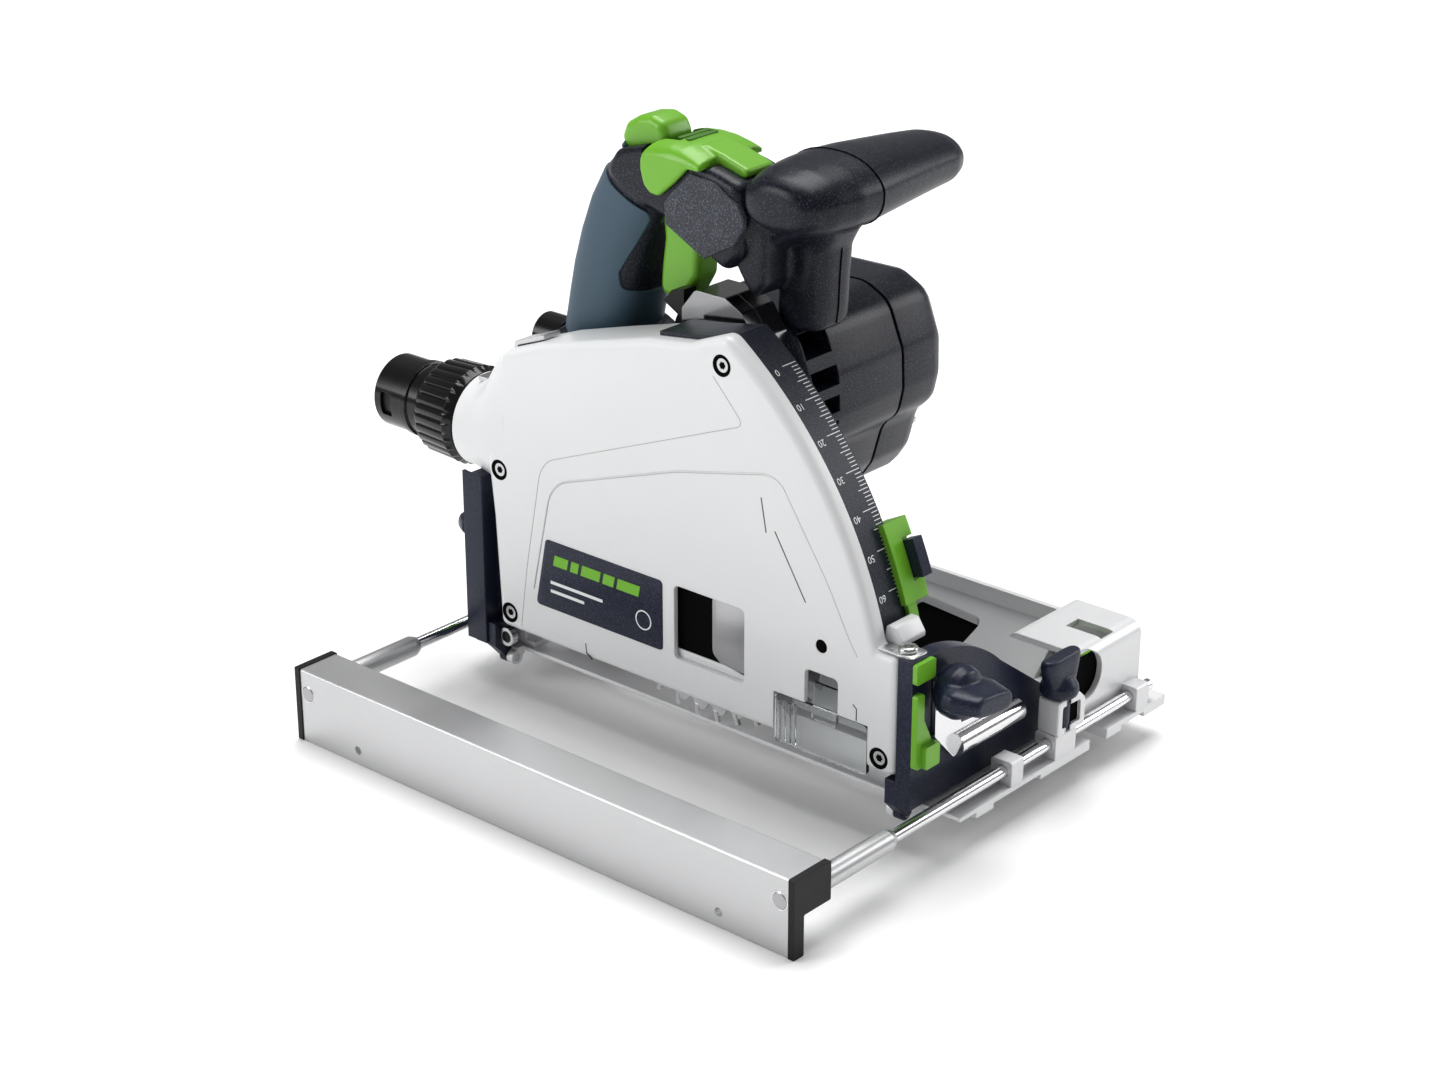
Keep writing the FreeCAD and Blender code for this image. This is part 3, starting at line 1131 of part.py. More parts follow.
def lock_off():
    """Rocker that must be pressed before the trigger moves."""
    return prism("XZ", [(-66.5, 262), (-40, 264), (-38.5, 276), (-46, 280.5), (-56, 280),
                        (-64, 274)], (HANDLE_MID - FINGER_W / 2, HANDLE_MID + FINGER_W / 2), 3.0)


def trigger():
    """Finger trigger, hinged at its top."""
    line = [(-53, 238.5), (-38, 238.5), (-26, 222), (-34, 205), (-46, 192), (-54, 193),
            (-52, 208), (-50, 222)]
    return prism("XZ", line, (HANDLE_MID - FINGER_W / 2, HANDLE_MID + FINGER_W / 2), 3.0)


def switch_block():
    """Electric switch behind the trigger."""
    body = box((-30, -8), (HANDLE_MID - POCKET_W / 2, HANDLE_MID + POCKET_W / 2), (238, 254))
    knob = box((-34, -30), (HANDLE_MID - 4, HANDLE_MID + 4), (242, 248))
    return body.fuse(knob).removeSplitter()


def aux_handle():
    """Front T-grip on its post, bolted over the gear case."""
    grip = box((3, 55), (-64, 64), (240, 272))
    grip = soften(grip, 13.0, lambda e: True)
    post = prism("XZ", [(3, 194.4), (8, 194.4), (21, 187.6), (29, 188), (40, 232), (44, 250),
                        (8, 250), (6, 230)], (-36, -8))
    yoke = prism("XZ", [(6.4, 211), (12, 211), (19, 226), (26, 246), (26, 256), (6.4, 256)],
                 (GUARD_LEFT + 12.5, -30))
    hand = prism("XZ", HANDLE_LINE, (HANDLE_R - 1, HANDLE_L + 1), 6.0)
    return union([grip, post, yoke]).cut(hand)


def latch():
    """Small catch on top of the gear case."""
    return prism("XZ", [(-41, 196), (-30, 190), (-28.4, 192), (-28.4, 204), (-36, 202)],
                 (-58, HANDLE_MID - 9.5))


def cord_inlet():
    """Round plug socket at the foot of the handle."""
    body = ring("X", 11.0, 8.0, (-134, -118.5), (HANDLE_MID, 154))
    floor = cyl("X", 8.0, (-121, -118.5), (HANDLE_MID, 154))
    pins = [cyl("X", 1.5, (-130, -120), (HANDLE_MID + 4 * s, 154)) for s in SIDES]
    return union([body, floor] + pins)


def housing_screws():
    """Screws that hold the motor end cap."""
    out = []
    for x, z in CAP_SCREWS:
        screw = torx_screw(CAP_HEAD_R, 2.4, CAP_SHANK_R, 12.0)
        screw.rotate(Vector(0, 0, 0), Vector(0, 0, 1), 180)
        screw.translate(Vector(x, MOTOR_END - 1.0, z))
        out.append(screw)
    return Part.makeCompound(out)


def return_spring():
    """Torsion spring around the plunge pin, drawn as its closed coils."""
    y0 = CASE_LEFT + 4.5
    coils = []
    for i in range(3):
        coils.append(Part.makeTorus(7.2, 1.15, Vector(PIVOT_X, y0 + 1.2 + 2.1 * i, PIVOT_Z),
                                    Vector(0, 1, 0)))
    leg = cyl("Z", 1.0, (PIVOT_Z, PIVOT_Z + 30), (PIVOT_X - 7.2, y0 + 1.2))
    return union(coils + [leg])


# -------------------------------------------------------------------- export
NODES = {
    "base_plate": base_plate,
    "bevel_pivot_pins": bevel_pivot_pins,
    "bevel_posts": bevel_posts,
    "clamp_studs": clamp_studs,
    "stop_bars": stop_bars,
    "bevel_knob_front": lambda: bevel_knob(1),
    "bevel_knob_rear": lambda: bevel_knob(-1),
    "rod_knob_front": lambda: rod_knob(1),
    "rod_knob_rear": lambda: rod_knob(-1),
    "rail_cam_front": lambda: rail_cam(1),
    "rail_cam_rear": lambda: rail_cam(-1),
    "fence_bar": fence_bar,
    "fence_end_caps": fence_end_caps,
    "guide_rods": guide_rods,
    "rod_sleeves": rod_sleeves,
    "guard_cover": guard_cover,
    "guard_frame": guard_frame,
    "depth_scale": depth_scale,
    "guard_screws": guard_screws,
    "bevel_segment_front": bevel_segment_front,
    "bevel_segment_rear": bevel_segment_rear,
    "bevel_markers": bevel_markers,
    "bevel_stop_front": lambda: bevel_stop_slider(1),
    "bevel_stop_rear": lambda: bevel_stop_slider(-1),
    "hose_clip": hose_clip,
    "plunge_pin": plunge_pin,
    "splinter_guard": splinter_guard,
    "dust_tube": dust_tube,
    "dust_collar": dust_collar,
    "depth_stop": depth_stop,
    "depth_stop_button": depth_stop_button,
    "gear_cover": gear_cover,
    "gear_housing": gear_housing,
    "motor_housing": motor_housing,
    "motor_cap": motor_cap,
    "stator": stator,
    "control_board": control_board,
    "ball_bearings": ball_bearings,
    "handle_right": handle_right,
    "handle_left": handle_left,
    "soft_grip": soft_grip,
    "aux_handle": aux_handle,
    "switch_block": switch_block,
    "cord_inlet": cord_inlet,
    "housing_screws": housing_screws,
    "return_spring": return_spring,
    "trigger": trigger,
    "lock_off": lock_off,
    "blade_lever": blade_lever,
    "latch": latch,
    "pinion_shaft": pinion_shaft,
    "rotor_core": rotor_core,
    "cooling_fan": cooling_fan,
    "idler_gear": idler_gear,
    "drive_gear": drive_gear,
    "arbor_shaft": arbor_shaft,
    "blade_flanges": blade_flanges,
    "arbor_screw": arbor_screw,
    "saw_blade": saw_blade,
}


def main():
    """Build every node and write its STEP file."""
    os.makedirs("parts", exist_ok=True)
    for name, build in NODES.items():
        shape = build()
        if len(shape.Solids) == 1:
            shape = shape.Solids[0]
        shape.exportStep("parts/" + name + ".step")


main()
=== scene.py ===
import logging
import math
from dataclasses import dataclass, field
from enum import Enum
from typing import Sequence

import bmesh
import bpy
from mathutils import Euler, Matrix, Vector


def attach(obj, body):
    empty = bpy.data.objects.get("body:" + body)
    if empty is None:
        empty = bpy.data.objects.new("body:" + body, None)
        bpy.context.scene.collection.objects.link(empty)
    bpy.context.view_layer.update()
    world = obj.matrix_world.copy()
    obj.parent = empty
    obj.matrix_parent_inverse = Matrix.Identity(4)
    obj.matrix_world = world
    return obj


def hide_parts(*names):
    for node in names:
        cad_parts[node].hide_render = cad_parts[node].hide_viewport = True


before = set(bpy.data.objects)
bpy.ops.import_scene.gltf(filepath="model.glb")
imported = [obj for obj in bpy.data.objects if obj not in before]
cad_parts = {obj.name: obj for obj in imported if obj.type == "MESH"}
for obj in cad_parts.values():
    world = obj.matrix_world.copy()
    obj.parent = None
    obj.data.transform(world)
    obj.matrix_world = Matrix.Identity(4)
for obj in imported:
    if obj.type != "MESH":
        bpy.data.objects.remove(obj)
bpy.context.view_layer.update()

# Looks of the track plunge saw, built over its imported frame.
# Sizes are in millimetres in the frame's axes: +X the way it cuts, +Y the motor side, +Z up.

MM = 0.001
Vec2 = tuple[float, float]
Vec3 = tuple[float, float, float]
Colour = tuple[float, float, float]
log = logging.getLogger("plunge_saw")


# ------------------------------------------------------------------ shader maths
class Term:
    """A number that varies over a surface, held as a node socket."""

    def __init__(self, graph: "Graph", socket: bpy.types.NodeSocket) -> None:
        """Wrap an output socket of a graph."""
        self.graph = graph
        self.socket = socket

    def _math(self, operation: str, first: object, second: object) -> "Term":
        """Add a Math node.

        Args:
            operation: the Math node's operation.
            first: left value, a Term or a number.
            second: right value, a Term or a number.

        Returns:
            The node's result.
        """
        return self.graph.node("ShaderNodeMath", {"operation": operation}, {0: first, 1: second})

    def __add__(self, other: object) -> "Term":
        """self + other."""
        return self._math("ADD", self, other)

    __radd__ = __add__

    def __sub__(self, other: object) -> "Term":
        """self - other."""
        return self._math("SUBTRACT", self, other)

    def __rsub__(self, other: object) -> "Term":
        """other - self."""
        return self._math("SUBTRACT", other, self)

    def __mul__(self, other: object) -> "Term":
        """self * other."""
        return self._math("MULTIPLY", self, other)

    __rmul__ = __mul__

    def above(self, level: float) -> "Term":
        """1 where self is over the level, else 0."""
        return self._math("GREATER_THAN", self, level)


class Graph:
    """Node tree of one material."""

    def __init__(self, name: str) -> None:
        """Start an empty node material.

        Args:
            name: the material's name.
        """
        self.material = bpy.data.materials.new(name)
        self.material.use_nodes = True
        self.tree = self.material.node_tree
        self.tree.nodes.clear()

    def node(self, kind: str, settings: dict | None = None, sockets: dict | None = None,
             output: int | str = 0) -> Term:
        """Add one node.

        Args:
            kind: the node's type.
            settings: properties, such as a Math node's operation, set first.
            sockets: values or links by input name or number.
            output: which output to return.

        Returns:
            The chosen output as a Term.
        """
        made = self.tree.nodes.new(kind)
        for key, value in (settings or {}).items():
            setattr(made, key, value)
        for key, value in (sockets or {}).items():
            if isinstance(value, Term):
                self.tree.links.new(value.socket, made.inputs[key])
            else:
                made.inputs[key].default_value = value
        return Term(self, made.outputs[output]) if len(made.outputs) else Term(self, None)

    def place(self) -> Term:
        """Object-space position in metres."""
        return self.node("ShaderNodeTexCoord", output="Object")

    def stretched(self, scale: Vec3) -> Term:
        """Position scaled differently along each axis."""
        return self.node("ShaderNodeMapping", {}, {"Vector": self.place(), "Scale": scale},
                         output="Vector")

    def noise(self, scale: float, detail: float = 2.0, at: Term | None = None,
              roughness: float = 0.5) -> Term:
        """Noise from 0 to 1.

        Args:
            scale: cells per metre.
            detail: octaves.
            at: where to sample; the object's own position when left out.
            roughness: weight of the finer octaves.

        Returns:
            The noise value.
        """
        return self.node("ShaderNodeTexNoise", {}, {"Vector": at or self.place(), "Scale": scale,
                         "Detail": detail, "Roughness": roughness}, output=0)

    def mix(self, factor: object, first: object, second: object) -> Term:
        """Colour between first and second."""
        def four(value: object) -> object:
            """A colour with its alpha."""
            return value if isinstance(value, Term) else (*value[:3], 1.0)
        return self.node("ShaderNodeMix", {"data_type": "RGBA"},
                         {0: factor, 6: four(first), 7: four(second)}, output=2)

    def finish(self, sockets: dict, constants: dict, height: Term | None, strength: float,
               distance: float, edge_mm: float) -> bpy.types.Material:
        """Close the graph with a Principled shader.

        Args:
            sockets: varying inputs, by name.
            constants: inputs that are the same all over, by name.
            height: bump height, or None.
            strength: bump strength.
            distance: bump height in metres.
            edge_mm: radius of the softened edges.

        Returns:
            The material.
        """
        normal = None
        if edge_mm > 0:
            normal = self.node("ShaderNodeBevel", {"samples": 4}, {"Radius": edge_mm * MM})
        if height is not None:
            wired = {"Height": height, "Strength": strength, "Distance": distance}
            if normal is not None:
                wired["Normal"] = normal
            normal = self.node("ShaderNodeBump", {}, wired)
        inputs = {**constants, **sockets}
        if normal is not None:
            inputs["Normal"] = normal
        shader = self.node("ShaderNodeBsdfPrincipled", {}, inputs)
        self.node("ShaderNodeOutputMaterial", {}, {"Surface": shader})
        return self.material


# --------------------------------------------------------------------- finishes
CLOUD_CELLS = 22.0          # slow colour change, cells per metre
CLOUD_SHARE = 0.55          # how much of the colour change is slow
# Painted glints: spark grain above the level below is drawn in a lighter colour, standing in for
# the light that it catches.
GLINT_LEVEL = 0.60          # grain above this catches the light
GLINT_SHARE = 0.65
GLINT_GAIN = 3.0
GLINT_LIFT = (0.045, 0.049, 0.062)
DRAWN_STRETCH = 0.012       # a drawn line's width over its length
BUMP_STRENGTH = 0.6


class Texture(Enum):
    """How a finish's surface is worked."""

    SPARK = "spark grain of an eroded mould"
    SATIN = "fine even satin"
    DRAWN = "lines drawn along one axis"
    POLISH = "polished, with faint hairlines"
    CAST = "cast, with soft unevenness"


@dataclass(frozen=True)
class Finish:
    """One finish: colour, gloss and surface texture."""

    name: str
    slot: str
    colour: Colour
    shade: Colour
    texture: Texture = Texture.SATIN
    metallic: float = 0.0
    roughness: float = 0.4
    spread: float = 0.08
    grain_mm: float = 0.5       # width of one grain
    depth_mm: float = 0.03      # depth of the grain
    coat: float = 0.0
    coat_roughness: float = 0.1
    edge_mm: float = 0.5        # radius of the softened edges
    along: int = 0              # axis of drawn lines: 0 for X, 1 for Y, 2 for Z
    specular: float = 0.5

    def material(self) -> bpy.types.Material:
        """Build this finish once and hand it back after that."""
        known = bpy.data.materials.get(self.name)
        if known:
            return known
        g = Graph(self.name)
        cloud = g.noise(CLOUD_CELLS, 3.0)
        fine = self._grain(g)
        tone = g.mix(cloud * CLOUD_SHARE + fine * (1 - CLOUD_SHARE), self.shade, self.colour)
        # Painted glint: lighter specks where the grain is high stand in for light caught by the
        # spark grain.
        if self.texture is Texture.SPARK:
            light = tuple(GLINT_GAIN * c + lift for c, lift in zip(self.colour, GLINT_LIFT))
            tone = g.mix(fine.above(GLINT_LEVEL) * GLINT_SHARE, tone, light)
        rough = (cloud - 0.5) * self.spread * 1.2 + (fine - 0.5) * self.spread + self.roughness
        constants = {"Metallic": self.metallic, "Coat Weight": self.coat,
                     "Coat Roughness": self.coat_roughness, "Specular IOR Level": self.specular}
        return g.finish({"Base Color": tone, "Roughness": rough}, constants, fine, BUMP_STRENGTH,
                        self.depth_mm * MM, self.edge_mm)

    def _grain(self, g: Graph) -> Term:
        """Fine texture value of the surface, 0 to 1."""
        scale = 1.0 / (self.grain_mm * MM)
        if self.texture in (Texture.DRAWN, Texture.POLISH):
            stretch = [1.0, 1.0, 1.0]
            stretch[self.along] = DRAWN_STRETCH
            return g.noise(scale, 3.0, g.stretched(tuple(stretch)))
        if self.texture is Texture.CAST:
            return g.noise(scale, 4.0, roughness=0.6)
        return g.noise(scale, 1.5 if self.texture is Texture.SPARK else 2.0)


GUARD_WHITE = Finish("guard_white", "guard_paint", (0.80, 0.805, 0.81), (0.76, 0.765, 0.775),
                     roughness=0.34, spread=0.05, grain_mm=0.35, depth_mm=0.006, coat=0.25,
                     coat_roughness=0.25, edge_mm=0.9)
CAST_WHITE = Finish("cast_white", "base_casting", (0.84, 0.84, 0.85), (0.74, 0.745, 0.75),
                    Texture.CAST, roughness=0.34, grain_mm=1.2, depth_mm=0.03, metallic=0.2,
                    edge_mm=0.9)
GRAPHITE = Finish("graphite_spark", "graphite_shell", (0.0085, 0.0100, 0.0185),
                  (0.0055, 0.0065, 0.0125), Texture.SPARK, roughness=0.34, grain_mm=0.70,
                  depth_mm=0.09, edge_mm=0.8, specular=0.36)
COARSE_GRAPHITE = Finish("graphite_coarse", "graphite_shell", (0.050, 0.054, 0.068),
                         (0.030, 0.033, 0.044), Texture.SPARK, roughness=0.55, grain_mm=0.55,
                         depth_mm=0.08, edge_mm=0.5)
SLATE = Finish("slate_overmould", "slate_grip", (0.070, 0.125, 0.170), (0.045, 0.085, 0.120),
               roughness=0.50, grain_mm=0.5, depth_mm=0.025, edge_mm=1.0)
LIME = Finish("lime_plastic", "green_plastic", (0.215, 0.520, 0.040), (0.175, 0.450, 0.030),
              roughness=0.34, grain_mm=0.4, depth_mm=0.012, edge_mm=0.7, coat=0.15)
NAVY = Finish("navy_moulding", "navy_plastic", (0.012, 0.016, 0.038), (0.008, 0.011, 0.027),
              Texture.SPARK, roughness=0.34, grain_mm=0.35, depth_mm=0.02, edge_mm=0.7,
              specular=0.42)
SEGMENT_NAVY = Finish("segment_moulding", "segment_navy", (0.012, 0.016, 0.038),
                      (0.008, 0.011, 0.027), Texture.SPARK, roughness=0.36, grain_mm=0.35,
                      depth_mm=0.02, edge_mm=0.8, specular=0.42)
BAND = Finish("band_moulding", "scale_navy", (0.016, 0.019, 0.032), (0.010, 0.012, 0.022),
              Texture.SPARK, roughness=0.40, grain_mm=0.45, depth_mm=0.04, edge_mm=0.4)
BLACK = Finish("black_moulding", "black_plastic", (0.008, 0.008, 0.009), (0.004, 0.004, 0.005),
               roughness=0.38, grain_mm=0.4, depth_mm=0.02, edge_mm=0.5, specular=0.35)
BLACK_GLOSS = Finish("gloss_moulding", "black_gloss", (0.007, 0.007, 0.008), (0.004, 0.004, 0.005),
                     roughness=0.18, spread=0.05, grain_mm=1.0, depth_mm=0.008, coat=0.15,
                     edge_mm=0.6, specular=0.4)
ANODISED = Finish("anodised_bar", "fence_alloy", (0.62, 0.622, 0.628), (0.55, 0.552, 0.558),
                  Texture.DRAWN, metallic=0.9, roughness=0.33, spread=0.08, grain_mm=0.25,
                  depth_mm=0.004, edge_mm=0.5)
ROD = Finish("plated_rod", "chrome", (0.80, 0.80, 0.81), (0.72, 0.72, 0.73), Texture.POLISH,
             metallic=1.0, roughness=0.14, spread=0.06, grain_mm=0.4, depth_mm=0.003,
             edge_mm=0.3, along=1)
STEEL = Finish("plated_steel", "steel", (0.60, 0.60, 0.61), (0.48, 0.48, 0.49), Texture.POLISH,
               metallic=1.0, roughness=0.26, spread=0.1, grain_mm=0.5, depth_mm=0.006,
               edge_mm=0.3, along=1)
GROUND = Finish("ground_blade", "blade_steel", (0.66, 0.66, 0.67), (0.52, 0.52, 0.53),
                Texture.DRAWN, metallic=1.0, roughness=0.3, grain_mm=0.5, depth_mm=0.006,
                edge_mm=0.1)
# Painted reflection: the polished case's colour and its darker patches are darkened to stand in for
# dark surroundings that it reflects.
GEAR_ALLOY = Finish("polished_case", "gear_alloy", (0.42, 0.42, 0.43), (0.20, 0.20, 0.21),
                    Texture.POLISH, metallic=1.0, roughness=0.18, grain_mm=0.6, depth_mm=0.01,
                    edge_mm=0.6, along=2)
WINDING = Finish("laminations", "winding_steel", (0.30, 0.27, 0.24), (0.16, 0.14, 0.12),
                 Texture.DRAWN, metallic=0.6, roughness=0.5, grain_mm=0.6, depth_mm=0.05,
                 edge_mm=0.2)
BOARD = Finish("potted_board", "board_green", (0.05, 0.20, 0.09), (0.03, 0.13, 0.06),
               roughness=0.4, edge_mm=0.2)
BEARING = Finish("ground_bearing", "bearing_steel", (0.66, 0.66, 0.67), (0.56, 0.56, 0.57),
                 Texture.POLISH, metallic=1.0, roughness=0.18, edge_mm=0.2, along=1)
PRINT_WHITE = Finish("printed_white", "scale_navy", (0.86, 0.87, 0.88), (0.80, 0.81, 0.82),
                     roughness=0.5, grain_mm=0.2, depth_mm=0.004, edge_mm=0.0)
# Painted shade: darker lime for the stripes on top of the blade-change lever.
LIME_PAINTED_SHADE = Finish("lime_shadow", "green_plastic", (0.075, 0.230, 0.020), (0.060, 0.190, 0.015),
                   roughness=0.4, grain_mm=0.4, depth_mm=0.012, edge_mm=0.1)
PRINT_LIME = Finish("printed_lime", "scale_navy", (0.215, 0.520, 0.040), (0.190, 0.480, 0.035),
                    roughness=0.45, grain_mm=0.2, depth_mm=0.004, edge_mm=0.0)
FLANK = Finish("ground_flank", "blade_steel", (0.55, 0.55, 0.56), (0.34, 0.34, 0.35),
               Texture.DRAWN, metallic=1.0, roughness=0.36, spread=0.2, grain_mm=0.5,
               depth_mm=0.02, edge_mm=0.0)
# Painted shade: a near-black, dull colour put in holes, recesses and pockets and behind openings,
# where shade falls; it also draws the dark parting seams of the front grip.
SHADE_AND_SEAM_BLACK = Finish("unlit_gap", "black_plastic", (0.003, 0.003, 0.003), (0.002, 0.002, 0.002),
              roughness=0.85, grain_mm=0.5, depth_mm=0.004, edge_mm=0.0, specular=0.08)
SEAM = Finish("seam_shadow", "black_plastic", (0.10, 0.10, 0.105), (0.07, 0.07, 0.075),
              roughness=0.6, grain_mm=0.3, depth_mm=0.004, edge_mm=0.0)
# Painted shade: grey guard paint stands in for the shade in the cover's pressed lines.
CREASE_SHADE = Finish("painted_crease_shade", "guard_paint", (0.50, 0.505, 0.51), (0.44, 0.445, 0.45),
                roughness=0.4, grain_mm=0.3, depth_mm=0.004, edge_mm=0.0)


class ClearPlastic:
    """Clear moulded plastic with faint ripple."""

    def __init__(self, name: str = "clear_moulding") -> None:
        """Name the finish."""
        self.name = name
        self.slot = "clear_plastic"

    def material(self) -> bpy.types.Material:
        """Build the clear plastic."""
        known = bpy.data.materials.get(self.name)
        if known:
            return known
        g = Graph(self.name)
        ripple = g.noise(120.0, 2.0)
        tint = g.mix(ripple, (0.93, 0.95, 0.955), (0.86, 0.89, 0.90))
        constants = {"Transmission Weight": 1.0, "IOR": 1.49, "Specular IOR Level": 0.5}
        return g.finish({"Base Color": tint, "Roughness": ripple * 0.05 + 0.02}, constants,
                        ripple, 0.4, 0.02 * MM, 0.3)


CLEAR = ClearPlastic()
HOSE_AXIS = (0.0, -71.5, 116.0)     # a point of the hose outlet's axis, which lies along X
ROD_AT = (147.5, 11.7)              # a fence rod's X and Z


# ------------------------------------------------------------------ mesh making
def smooth_by_angle(mesh: bpy.types.Mesh, degrees: float) -> None:
    """Shade smooth, with sharp edges where faces meet at more than the angle."""
    limit = math.radians(degrees)
    shape = bmesh.new()
    shape.from_mesh(mesh)
    for face in shape.faces:
        face.smooth = True
    for edge in shape.edges:
        edge.smooth = len(edge.link_faces) == 2 and edge.calc_face_angle(0.0) < limit
    shape.to_mesh(mesh)
    shape.free()


def lift(plane: str, point: Vec2, depth: float) -> Vec3:
    """Point of a named plane at a depth, in metres."""
    a, b = point
    spots = {"XZ": (a, depth, b), "YZ": (depth, a, b), "XY": (a, b, depth)}
    return tuple(v * MM for v in spots[plane])


def squared(value: float, power: float) -> float:
    """Cosine or sine drawn towards a squarer oval, with its sign kept."""
    return math.copysign(abs(value) ** power, value)


def oval(half_a: float, half_b: float, power_a: float, power_b: float, count: int) -> list[Vec2]:
    """Squared-off oval about the origin.

    Args:
        half_a: half its first axis.
        half_b: half its second axis.
        power_a: below 1 squares the first axis.
        power_b: below 1 squares the second axis.
        count: points round it.

    Returns:
        The points.
    """
    turns = [2 * math.pi * k / count for k in range(count)]
    return [(half_a * squared(math.cos(t), power_a), half_b * squared(math.sin(t), power_b))
            for t in turns]


def bend(start: Vector, corner: Vector, end: Vector, steps: int) -> list[Vec2]:
    """Points of the curve that rounds a corner, from start to end."""
    out = []
    for k in range(steps + 1):
        t = k / steps
        spot = start * (1 - t) ** 2 + corner * (2 * t * (1 - t)) + end * t ** 2
        out.append((spot.x, spot.y))
    return out


def rounded(corners: Sequence[Vec2], radius: float, steps: int = 6) -> list[Vec2]:
    """Round a polygon's corners with short arcs.

    Args:
        corners: the polygon.
        radius: wanted radius; shortened on short sides.
        steps: points in each corner.

    Returns:
        The rounded polygon.
    """
    out: list[Vec2] = []
    count = len(corners)
    for i, corner in enumerate(corners):
        here = Vector(corner)
        back = Vector(corners[i - 1]) - here
        ahead = Vector(corners[(i + 1) % count]) - here
        turn = math.pi - back.angle(ahead)
        reach = min(radius * math.tan(turn / 2), 0.48 * back.length, 0.48 * ahead.length)
        out += bend(here + back.normalized() * reach, here, here + ahead.normalized() * reach,
                    steps)
    return out


def rounded_run(points: Sequence[Vec2], radius: float, steps: int = 5) -> list[Vec2]:
    """Open polyline with rounded bends.

    Args:
        points: the polyline.
        radius: wanted radius of the bends.
        steps: points in each bend.

    Returns:
        The rounded polyline.
    """
    out: list[Vec2] = [points[0]]
    for before, corner, after in zip(points, points[1:], points[2:]):
        here = Vector(corner)
        back, ahead = Vector(before) - here, Vector(after) - here
        reach = min(radius, 0.45 * back.length, 0.45 * ahead.length)
        out += bend(here + back.normalized() * reach, here, here + ahead.normalized() * reach,
                    steps)
    out.append(points[-1])
    return out


